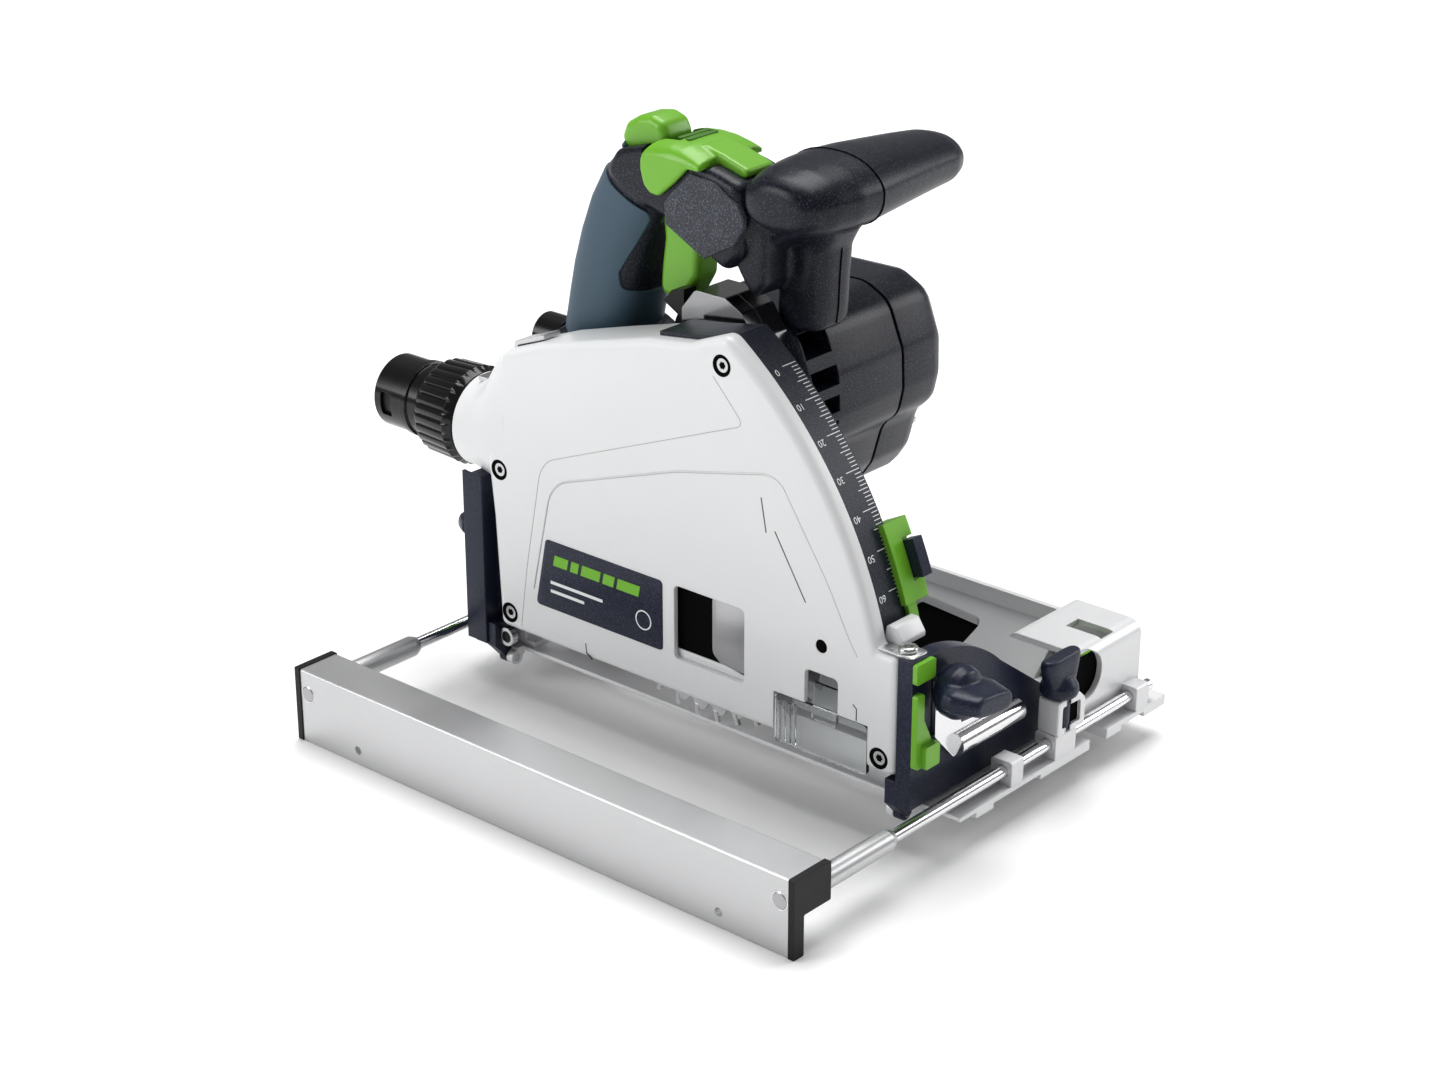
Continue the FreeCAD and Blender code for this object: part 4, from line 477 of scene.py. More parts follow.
class Maker:
    """Turns outlines and rings into mesh objects."""

    @staticmethod
    def mesh(name: str, points: Sequence[Vec3], faces: Sequence[Sequence[int]],
             angle: float = 35.0) -> bpy.types.Object:
        """Object from points in metres.

        Args:
            name: the piece's name.
            points: vertices.
            faces: vertex numbers of each face.
            angle: edges sharper than this stay crisp.

        Returns:
            The linked object.
        """
        data = bpy.data.meshes.new(name)
        data.from_pydata([tuple(p) for p in points], [], [tuple(f) for f in faces])
        shape = bmesh.new()
        shape.from_mesh(data)
        bmesh.ops.recalc_face_normals(shape, faces=shape.faces)
        shape.to_mesh(data)
        shape.free()
        smooth_by_angle(data, angle)
        return Maker.linked(name, data)

    @staticmethod
    def settle(made: bpy.types.Object, angle: float = 35.0) -> bpy.types.Object:
        """Turn an object's modifiers into its mesh."""
        graph = bpy.context.evaluated_depsgraph_get()
        data = bpy.data.meshes.new_from_object(made.evaluated_get(graph))
        made.modifiers.clear()
        made.data = data
        smooth_by_angle(data, angle)
        return made

    @classmethod
    def plate(cls, name: str, outline: Sequence[Vec2], plane: str, span: Vec2,
              edge: float = 0.0, steps: int = 3, angle: float = 35.0) -> bpy.types.Object:
        """Extruded outline with rounded rims.

        Args:
            name: the piece's name.
            outline: corners in the plane.
            plane: XZ, YZ or XY.
            span: start and end across the plane.
            edge: radius of the rims.
            steps: segments in each rim.
            angle: edges sharper than this stay crisp.

        Returns:
            The object.
        """
        count = len(outline)
        points = [lift(plane, p, s) for s in span for p in outline]
        sides = [(i, (i + 1) % count, count + (i + 1) % count, count + i) for i in range(count)]
        faces = [tuple(range(count)), tuple(range(2 * count - 1, count - 1, -1))] + sides
        made = cls.mesh(name, points, faces, angle)
        if edge > 0:
            rim = made.modifiers.new("rim", "BEVEL")
            rim.width = edge * MM
            rim.segments = steps
            rim.limit_method = "ANGLE"
            rim.angle_limit = math.radians(50)
            cls.settle(made, angle)
        return made

    @classmethod
    def loft(cls, name: str, rings: Sequence[Sequence[Vec3]], angle: float = 60.0,
             joined: bool = False) -> bpy.types.Object:
        """Skin over rings of equal count, closed at both ends.

        Args:
            name: the piece's name.
            rings: rings of points in millimetres.
            angle: edges sharper than this stay crisp.
            joined: whether the last ring meets the first instead of being closed off.

        Returns:
            The object.
        """
        count = len(rings[0])
        points = [tuple(v * MM for v in p) for ring in rings for p in ring]
        faces: list[tuple[int, ...]] = []
        last = (len(rings) - 1) * count
        starts = [r * count for r in range(len(rings))]
        pairs = list(zip(starts, starts[1:])) + ([(last, 0)] if joined else [])
        for low, high in pairs:
            for i in range(count):
                j = (i + 1) % count
                faces.append((low + i, low + j, high + j, high + i))
        if not joined:
            faces.append(tuple(range(count - 1, -1, -1)))
            faces.append(tuple(range(last, last + count)))
        return cls.mesh(name, points, faces, angle)

    @classmethod
    def lathe(cls, name: str, profile: Sequence[Vec2], axis: str, at: Vec3, steps: int = 48,
              angle: float = 35.0, joined: bool = False, ribs: int = 0,
              proud: float = 0.0) -> bpy.types.Object:
        """Turned piece.

        Args:
            name: the piece's name.
            profile: (distance along the axis, radius) pairs, from end to end.
            axis: X, Y or Z.
            at: a point of the axis.
            steps: segments round the axis.
            angle: edges sharper than this stay crisp.
            joined: whether the profile is a closed loop round a bore.
            ribs: raised ribs round the inner stations of the profile.
            proud: height of the ribs.

        Returns:
            The object.
        """
        rings = []
        for station, (along, radius) in enumerate(profile):
            ring = []
            ribbed = ribs and 2 <= station <= len(profile) - 4
            for k in range(steps):
                turn = 2 * math.pi * k / steps
                lift_off = proud * (0.5 + 0.5 * math.cos(ribs * turn)) ** 0.22 if ribbed else 0.0
                reach = radius + lift_off
                a, b = reach * math.cos(turn), reach * math.sin(turn)
                local = {"X": (along, a, b), "Y": (a, along, b), "Z": (a, b, along)}[axis]
                ring.append(tuple(local[m] + at[m] for m in range(3)))
            rings.append(ring)
        return cls.loft(name, rings, angle, joined)

    @staticmethod
    def linked(name: str, data: bpy.types.ID) -> bpy.types.Object:
        """New object for the data, in the scene."""
        made = bpy.data.objects.new(name, data)
        bpy.context.scene.collection.objects.link(made)
        return made

    @classmethod
    def frozen(cls, name: str, curve: bpy.types.Curve) -> bpy.types.Object:
        """Curve or figure as a mesh object."""
        made = cls.linked(name, curve)
        graph = bpy.context.evaluated_depsgraph_get()
        data = bpy.data.meshes.new_from_object(made.evaluated_get(graph))
        bpy.data.objects.remove(made)
        return cls.linked(name, data)

    @classmethod
    def line(cls, name: str, points: Sequence[Vec3], radius: float,
             closed: bool = False) -> bpy.types.Object:
        """Round bead along a polyline.

        Args:
            name: the piece's name.
            points: the polyline in millimetres.
            radius: the bead's radius.
            closed: whether the ends join.

        Returns:
            The bead as a mesh.
        """
        curve = bpy.data.curves.new(name, "CURVE")
        curve.dimensions = "3D"
        curve.bevel_depth = radius * MM
        curve.bevel_resolution = 2
        curve.use_fill_caps = not closed
        run = curve.splines.new("POLY")
        run.points.add(len(points) - 1)
        for spot, p in zip(run.points, points):
            spot.co = (*(v * MM for v in p), 1.0)
        run.use_cyclic_u = closed
        solid = cls.frozen(name, curve)
        smooth_by_angle(solid.data, 60)
        return solid

    @classmethod
    def figure(cls, name: str, words: str, size: float, depth: float,
               placing: Matrix) -> bpy.types.Object:
        """Printed figure as a thin mesh.

        Args:
            name: the piece's name.
            words: digits to draw.
            size: height in millimetres.
            depth: thickness in millimetres.
            placing: matrix from the figure's plane to the row frame.

        Returns:
            The mesh object.
        """
        curve = bpy.data.curves.new(name, "FONT")
        curve.body = words
        curve.size = size * MM
        curve.extrude = depth * MM / 2
        curve.align_x = "CENTER"
        curve.align_y = "CENTER"
        solid = cls.frozen(name, curve)
        solid.data.transform(placing)
        return solid

    @classmethod
    def merge(cls, name: str, parts: Sequence[bpy.types.Object],
              angle: float = 35.0) -> bpy.types.Object:
        """Several meshes as one object."""
        shape = bmesh.new()
        for part in parts:
            shape.from_mesh(part.data)
        data = bpy.data.meshes.new(name)
        shape.to_mesh(data)
        shape.free()
        for part in parts:
            bpy.data.objects.remove(part)
        smooth_by_angle(data, angle)
        return cls.linked(name, data)

    @classmethod
    def blend(cls, name: str, parts: Sequence[bpy.types.Object], voxel: float,
              passes: int, angle: float = 60.0) -> bpy.types.Object:
        """Fuse overlapping meshes into one skin with softened joins.

        Args:
            name: the piece's name.
            parts: closed meshes that overlap.
            voxel: grid size in millimetres.
            passes: smoothing passes.
            angle: edges sharper than this stay crisp.

        Returns:
            The fused object.
        """
        made = cls.merge(name, parts)
        grid = made.modifiers.new("grid", "REMESH")
        grid.mode = "VOXEL"
        grid.voxel_size = voxel * MM
        soft = made.modifiers.new("soft", "SMOOTH")
        soft.factor = 0.5
        soft.iterations = passes
        return cls.settle(made, angle)

    @classmethod
    def carve(cls, made: bpy.types.Object, tools: Sequence[bpy.types.Object],
              angle: float = 35.0) -> bpy.types.Object:
        """Cut tool meshes out of a piece."""
        for tool in tools:
            cut = made.modifiers.new("cut", "BOOLEAN")
            cut.operation = "DIFFERENCE"
            cut.solver = "EXACT"
            cut.object = tool
        cls.settle(made, angle)
        for tool in tools:
            bpy.data.objects.remove(tool)
        return made


def fit(made: bpy.types.Object, finish: Finish | ClearPlastic, body: str,
        replaces: Sequence[str] = ()) -> bpy.types.Object:
    """Dress a piece and fix it to its body.

    Args:
        made: the piece.
        finish: its finish.
        body: the body it moves with.
        replaces: CAD nodes that it stands for.

    Returns:
        The piece.
    """
    made.data.materials.clear()
    made.data.materials.append(finish.material())
    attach(made, body)
    if replaces:
        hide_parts(*replaces)
    log.info("%s on %s", made.name, body)
    return made


def dress(finishes: dict[str, Finish | ClearPlastic]) -> None:
    """Give CAD nodes their finishes.

    Args:
        finishes: finish by node name.
    """
    for node, finish in finishes.items():
        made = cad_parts[node]
        made.data.materials.clear()
        made.data.materials.append(finish.material())
        log.info("%s in %s", node, finish.name)


# ----------------------------------------------------------------- sub-assemblies
@dataclass
class Guard:
    """Blade guard: cover, frame, label, pressed lines, window liner and screws."""

    face_y: float = -94.3
    arc: float = 214.9
    foot: float = 21.0
    wall: float = 2.5
    depth: float = 16.0
    rim: float = 4.2
    pivot: Vec2 = (-94.3, 27.2)
    sight: Vec2 = (84.3, 72.6)
    body: str = "guard"
    window: list[Vec2] = field(default_factory=lambda: [
        (-3, 39.5), (39.5, 39.5), (39.5, 76.5), (-3, 76.5)])
    notch: list[Vec2] = field(default_factory=lambda: [(57, 0), (111, 0), (111, 42), (57, 42)])
    recess: list[Vec2] = field(default_factory=lambda: [
        (75, 40), (75, 59), (94, 59), (94, 40)])
    screws: list[Vec2] = field(default_factory=lambda: [
        (26, 190), (-115, 103.6), (-110.6, 30), (117.5, 28.4)])
    shoulder: Sequence[tuple[float, ...]] = (
        (-146.0, -71.5, 116.0, 23.4, 23.4, 1.0), (-140, -71.5, 116.2, 23.4, 23.8, 1.0),
        (-133, -72.2, 117.5, 22.6, 26.0, 0.9), (-126, -74.2, 121.0, 20.4, 30.0, 0.75),
        (-119, -77.4, 126.0, 17.2, 34.0, 0.6), (-111, -79.2, 129.5, 15.1, 34.0, 0.45))
    bars: Sequence[Vec2] = ((-80, 9), (-69, 5), (-62, 12), (-48, 7), (-39, 14))
    rules: Sequence[Vec2] = ((54, 34), (49.5, 22))
    label: list[Vec2] = field(default_factory=lambda: [
        (-84.8, 76.3), (-10.2, 76.3), (-10.2, 40.8), (-92.0, 40.8)])
    outer_line: list[Vec2] = field(default_factory=lambda: [
        (-103, 25), (-98, 58), (-87.7, 110), (-82, 117), (39, 165), (21, 184)])
    inner_line: list[Vec2] = field(default_factory=lambda: [
        (-94, 48), (-82, 100), (-75, 108), (-2, 133), (52, 146), (60, 144), (87, 104), (100, 80),
        (104, 74)])
    zig: list[list[Vec2]] = field(default_factory=lambda: [
        [(49, 134), (52, 118)], [(57, 120), (75, 91)]])
    cut_marks: list[list[Vec2]] = field(default_factory=lambda: [
        [(-60, 29), (-59.4, 24), (-56, 21.8)], [(102.6, 50), (104.6, 48.4), (104.6, 42.6)]])

    def build(self) -> None:
        """Build and dress the guard."""
        dress({"guard_frame": GUARD_WHITE, "guard_screws": STEEL, "hose_clip": STEEL,
               "plunge_pin": STEEL, "splinter_guard": CLEAR})
        self.cover()
        self.socket()
        self.hinge_rings()
        self.pressed_lines()
        self.plate_label()
        self.window_liner()
        self.recess_rings()

    def side(self, inset: float, foot: float) -> list[Vec2]:
        """Side outline of the cover.

        Args:
            inset: distance drawn in from the outside.
            foot: height of its lower edge.

        Returns:
            X and Z of its corners.
        """
        px, pz = self.pivot
        r = self.arc - inset
        toe, shoulder = 126.8 - (inset and 1.5), 79.0 - inset
        low = math.asin((shoulder - pz) / r)
        crest = (27.0, 202.9 - inset)
        high = math.atan2(crest[1] - pz, crest[0] - px)
        turns = [low + (high - low) * k / 28 for k in range(29)]
        arc = [(px + r * math.cos(t), pz + r * math.sin(t)) for t in turns]
        top = [(x, z - inset) for x, z in ((5, 195), (-20, 191.5), (-54, 182.3), (-88, 172.5),
                                           (-113, 163))]
        rear = [(-125 + inset, 115.5), (-121 + inset, 78.4), (-118 + inset, foot)]
        return [(toe, foot), (toe, shoulder), *arc, *top, *rear]

    def cover(self) -> None:
        """Outer cover with its deep rounded rim, window and chip-guard notch."""
        y = self.face_y
        shell = Maker.plate("cover_shell", self.side(0, self.foot), "XZ", (y, y + self.depth),
                            self.rim, 6, 28)
        back = Maker.plate("back", [(-200, -40), (200, -40), (200, 260), (-200, 260)], "XZ",
                           (y + 8.3, y + 30))
        room = Maker.plate("room", self.side(self.wall, -20.0), "XZ", (y + self.wall, y + 12))
        window = Maker.plate("window", rounded(self.window, 3.0), "XZ", (y - 1, y + 4))
        notch = Maker.plate("notch", self.notch, "XZ", (y - 1, y + 10))
        recess = Maker.plate("recess", rounded(self.recess, 3.0), "XZ", (y - 1, y + 4))
        holes = [Maker.lathe(f"hole_{i}", [(-1, 4.9), (3.2, 4.9)], "Y", (x, y, z), 32)
                 for i, (x, z) in enumerate(self.screws)]
        sight = Maker.lathe("sight", [(-1, 3.2), (4, 3.2)], "Y",
                            (self.sight[0], y, self.sight[1]), 32)
        Maker.carve(shell, [room, back, window, notch, recess, *holes, sight], 28)
        fit(shell, GUARD_WHITE, self.body, ["guard_cover"])

    def socket(self) -> None:
        """Smooth shoulder between the cover and the hose socket."""
        rings = [[(x, y + a, z + b) for a, b in oval(wide, tall, square, square, 64)]
                 for x, y, z, wide, tall, square in self.shoulder]
        shroud = Maker.loft("socket_shoulder", rings)
        bore = Maker.lathe("bore", [(-160, 19.3), (-118, 19.3)], "X", HOSE_AXIS, 48)
        fit(Maker.carve(shroud, [bore], 50), GUARD_WHITE, self.body)

    def hinge_rings(self) -> None:
        """Eye ends of the bevel hinge under both ends of the cover."""
        for end, x in (("front", 124.0), ("rear", -116.5)):
            at = (x, self.face_y + 2.5, 14.0)
            ring = Maker.lathe(f"hinge_eye_{end}", [(0, 4.8), (3.6, 4.8), (3.6, 3.0), (0, 3.0)],
                               "Y", at, 40, joined=True)
            fit(ring, STEEL, self.body)
            fit(Maker.lathe(f"hinge_plug_{end}", [(0.8, 0.02), (0.8, 3.0), (3.4, 3.0)], "Y", at,
                            32), BLACK, self.body)

    def bead(self, name: str, points: Sequence[Vec2], radius: float, finish: Finish,
             proud: float) -> None:
        """Thin line pressed in the cover.

        Args:
            name: the piece's name.
            points: X and Z of the line.
            radius: half width.
            finish: its finish.
            proud: how far its middle stands off the face.
        """
        run = [(x, self.face_y - proud, z) for x, z in points]
        fit(Maker.line(name, run, radius), finish, self.body)

    def pressed_lines(self) -> None:
        """Panel lines and cutting marks of the cover; the grey lines are painted shade in the outer
        crease and under the raised inner line.
        """
        outer = rounded_run(self.outer_line, 5.0)
        inner = rounded_run(self.inner_line, 6.0)
        # Painted shade: the outer crease line is drawn in grey.
        self.bead("cover_line_outer", outer, 0.22, CREASE_SHADE, -0.08)
        self.bead("cover_line_inner", inner, 0.45, GUARD_WHITE, -0.1)
        # Painted shadow: a grey line just under the raised inner line.
        self.bead("cover_line_inner_shadow", [(x + 0.5, z - 0.5) for x, z in inner], 0.16,
                  CREASE_SHADE, -0.05)
        for i, mark in enumerate(self.zig + self.cut_marks):
            self.bead(f"cover_mark_{i}", mark, 0.42, SEAM, -0.25)

    def plate_label(self) -> None:
        """Blank data label with plain bars."""
        y = self.face_y
        outline = rounded(self.label, 2.5)
        fit(Maker.plate("label_plate", outline, "XZ", (y - 0.35, y + 0.4), 0.15, 2), NAVY,
            self.body)
        bars = []
        for i, (x, w) in enumerate(self.bars):
            bars.append(Maker.plate(f"bar_{i}", [(x, 64), (x + w, 64), (x + w + 1.2, 69.5),
                                                 (x + 1.2, 69.5)], "XZ", (y - 0.5, y)))
        fit(Maker.merge("label_lime_bars", bars), PRINT_LIME, self.body)
        lines = [Maker.plate(f"rule_{i}", [(-82, z), (-82 + w, z), (-82 + w, z + 1.6),
                                           (-82, z + 1.6)], "XZ", (y - 0.5, y))
                 for i, (z, w) in enumerate(self.rules)]
        ring = Maker.lathe("ring", [(-0.5, 5.0), (0, 5.0), (0, 4.3), (-0.5, 4.3)], "Y",
                           (-22, y, 53), 40, joined=True)
        fit(Maker.merge("label_white_rules", lines + [ring]), PRINT_WHITE, self.body)

    def window_liner(self) -> None:
        """Painted shade of the chamber, and the ground blade flank, seen through the window."""
        y = self.face_y
        lip = [(-4.5, 38), (41, 38), (41, 41.4), (26, 43.6), (-4.5, 43.6)]
        fit(Maker.plate("window_lip", lip, "XZ", (y + 2.7, y + 3.4), 0.2, 2), GUARD_WHITE,
            self.body)
        # Painted shade: a near-black sheet behind the window stands in for the shaded inside of the
        # guard.
        painted_shade_outline = [(-4.5, 38), (41, 38), (41, 78), (-4.5, 78)]
        fit(Maker.plate("window_shade", rounded(painted_shade_outline, 1.0), "XZ", (y + 3.5, y + 4.0)), SHADE_AND_SEAM_BLACK,
            self.body)
        flank = [(17.5, 47), (24, 42.6), (41, 42.6), (41, 78), (17.5, 78)]
        fit(Maker.plate("window_flank", rounded(flank, 5.0), "XZ", (y + 3.2, y + 3.48), 0.1, 2),
            FLANK, self.body)

    def recess_rings(self) -> None:
        """Painted shade in the clearance rings round the screws and in the sight hole."""
        y = self.face_y
        for i, (x, z) in enumerate(self.screws):
            ring = Maker.lathe(f"screw_recess_{i}", [(-0.08, 5.1), (2.9, 4.9), (2.9, 3.5),
                                                     (0.3, 3.3)], "Y", (x, y, z), 40,
                               joined=True)
            fit(ring, SHADE_AND_SEAM_BLACK, self.body)
            # Painted shade in each screw's drive recess.
            fit(Maker.lathe(f"screw_drive_{i}", [(0.32, 0.02), (0.32, 1.5), (0.9, 1.5)], "Y",
                            (x, y, z), 24), SHADE_AND_SEAM_BLACK, self.body)
        hole = Maker.lathe("sight_hole", [(0.1, 3.1), (2.0, 3.1), (2.4, 0.01)], "Y",
                           (self.sight[0], y, self.sight[1]), 32)
        fit(hole, SHADE_AND_SEAM_BLACK, self.body)


@dataclass
class DepthBand:
    """Curved depth scale with its graduations and figures."""

    pivot: Vec2 = (-94.3, 27.2)
    radius: float = 211.5
    edge_y: float = -63.9
    zero: float = 49.5
    per_mm: float = 0.498       # degrees for each millimetre of depth
    ink: float = 0.06           # how far the print stands off
    half_line: float = 0.055    # half a graduation's width, in degrees
    figure_y: float = -78.6
    figure_size: float = 4.6
    body: str = "guard"

    def spot(self, angle: float, y: float, proud: float = 0.0) -> Vector:
        """Point on the band, in millimetres."""
        turn = math.radians(angle)
        r = self.radius + proud
        return Vector((self.pivot[0] + r * math.cos(turn), y, self.pivot[1] + r * math.sin(turn)))

    def build(self) -> None:
        """Build and dress the band."""
        dress({"depth_scale": BAND})
        ticks = [self.tick(depth) for depth in range(0, 63)]
        fit(Maker.merge("depth_graduations", ticks), PRINT_WHITE, self.body)
        for depth in range(0, 70, 10):
            self.numeral(depth)
        self.end_plate()

    def tick(self, depth: int) -> bpy.types.Object:
        """One graduation line."""
        length = 9.0 if depth % 10 == 0 else 6.5 if depth % 5 == 0 else 4.2
        angle = self.zero - self.per_mm * depth
        near = self.edge_y - 0.6
        corners = [self.spot(angle + side * self.half_line, y, lifted)
                   for lifted in (-0.05, self.ink)
                   for side, y in ((-1, near), (1, near), (1, near - length),
                                   (-1, near - length))]
        faces = [(0, 1, 2, 3), (7, 6, 5, 4), (0, 1, 5, 4), (1, 2, 6, 5), (2, 3, 7, 6),
                 (3, 0, 4, 7)]
        return Maker.mesh(f"tick_{depth}", [tuple(c * MM) for c in corners], faces)

    def numeral(self, depth: int) -> None:
        """One figure, read from behind the saw."""
        angle = self.zero - self.per_mm * depth - 0.5
        turn = math.radians(angle)
        up = Vector((math.sin(turn), 0, -math.cos(turn)))
        out = Vector((math.cos(turn), 0, math.sin(turn)))
        right = up.cross(out)
        place = Matrix((right, up, out)).transposed().to_4x4()
        place.translation = self.spot(angle, self.figure_y, 0.05) * MM
        figure = Maker.figure(f"depth_figure_{depth}", str(depth), self.figure_size, 0.1, place)
        fit(figure, PRINT_WHITE, self.body)

    def end_plate(self) -> None:
        """Pressed end stop and screw under the band."""
        outline = rounded([(111, 79.2), (121, 79.2), (121, 82), (117, 88), (112, 88)], 2.0)
        fit(Maker.plate("band_end_plate", outline, "XZ", (-84, -67), 0.6, 3), GUARD_WHITE,
            self.body)
        bracket = Maker.plate("band_end_bracket", rounded([(112, -92), (133, -92), (133, -80),
                              (112, -80)], 2.5), "XY", (79.3, 80.6), 0.4, 2)
        fit(bracket, STEEL, self.body)
        fit(socket_screw("band_end_screw", (126, -86, 80.6), "Z", 1, 4.4, 2.4), STEEL, self.body)


def socket_screw(name: str, at: Vec3, axis: str, way: int, radius: float,
                 height: float) -> bpy.types.Object:
    """Pan-head screw with a round drive recess.

    Args:
        name: the piece's name.
        at: middle of the seat.
        axis: the screw's axis.
        way: 1 or -1, the way the head faces.
        radius: head radius.
        height: head height.

    Returns:
        The screw head.
    """
    crown = [(0, radius), (0.55 * height, radius), (0.85 * height, 0.9 * radius),
             (height, 0.72 * radius), (height, 0.4 * radius), (0.45 * height, 0.36 * radius),
             (0.45 * height, 0.02)]
    return Maker.lathe(name, [(way * a, r) for a, r in crown], axis, at, 36)


@dataclass
class FrontHandle:
    """Front T-grip with its post."""

    body: str = "head"
    sections: list[tuple[float, float, float, float, float]] = field(default_factory=lambda: [
        (-66.0, 30.5, 257.0, 10.0, 7.0), (-64.5, 30.5, 257.2, 16.5, 11.0),
        (-60.0, 30.4, 257.4, 21.0, 14.5), (-50.0, 30.2, 257.8, 25.0, 17.0),
        (-36.0, 30.0, 258.0, 27.5, 18.0), (-22.0, 29.5, 258.2, 28.0, 18.2),
        (-6.0, 28.6, 258.0, 26.5, 17.4), (14.0, 27.6, 257.2, 24.0, 16.0),
        (34.0, 26.4, 256.2, 21.5, 14.6), (50.0, 25.6, 255.2, 19.5, 13.4),
        (58.0, 25.2, 254.6, 16.5, 11.4), (63.0, 25.0, 254.2, 11.5, 8.0),
        (65.0, 25.0, 254.0, 6.0, 4.5)])
    post: Sequence[tuple[float, float, float, float, float]] = (
        (189, 18, -22, 11, 12), (192, 18, -22, 13.5, 14), (200, 18.5, -22, 14, 14),
        (214, 19, -22, 14, 14), (228, 20, -22, 14, 14), (236, 22, -22, 16, 15.5),
        (244, 26, -22, 20, 18), (254, 28, -22, 22, 18))
    neck: Sequence[tuple[float, float, float, float, float]] = (
        (-6, -42, 241, 16, 17), (2, -42, 241, 15.5, 18), (10, -41, 243, 13, 17),
        (20, -38, 246, 14, 15), (30, -34, 250, 15, 13))
    parting_y: float = -21.6
    parting: Sequence[Vec2] = ((32.6, 238), (34.2, 228), (33.2, 214), (32.7, 200), (31.6, 192))

    def ring(self, y: float, x: float, z: float, half_x: float, half_z: float) -> list[Vec3]:
        """Oval section of the grip, fuller on its shoulders than an ellipse."""
        out = []
        for k in range(40):
            turn = 2 * math.pi * k / 40
            c, s = math.cos(turn), math.sin(turn)
            rise = 0.78 * abs(s) ** 1.3 if s > 0 else -1.04 * abs(s) ** 0.72
            out.append((x + half_x * squared(c, 0.86), y, z + half_z * rise))
        return out

    def build(self) -> None:
        """Build the grip, its post and the neck to the main handle."""
        grip = Maker.loft("grip", [self.ring(*s) for s in self.sections])
        post = Maker.loft("post", [
            [(x + a, y + b, z) for a, b in oval(half_x, half_y, 0.6, 0.6, 36)]
            for z, x, y, half_x, half_y in self.post])
        neck = Maker.loft("neck", [
            [(x, y + a, z + b) for a, b in oval(half_y, half_z, 0.8, 0.8, 36)]
            for x, y, z, half_y, half_z in self.neck])
        brace = Maker.plate("brace", rounded([(-4, 224), (4, 212), (10, 206), (16, 214),
                            (16, 240), (-4, 240)], 3.0), "XZ", (-54, -34), 2.0, 3)
        made = Maker.blend("front_grip", [grip, post, neck, brace], 1.3, 7)
        fit(made, GRAPHITE, self.body, ["aux_handle"])
        seam = self.ring(self.parting_y, 29.5, 258.2, 28.1, 18.35)
        fit(Maker.line("grip_parting", seam, 0.28, True), SHADE_AND_SEAM_BLACK, self.body)
        half = [(x, self.parting_y, z) for x, z in self.parting]
        fit(Maker.line("post_parting", half, 0.28), SHADE_AND_SEAM_BLACK, self.body)


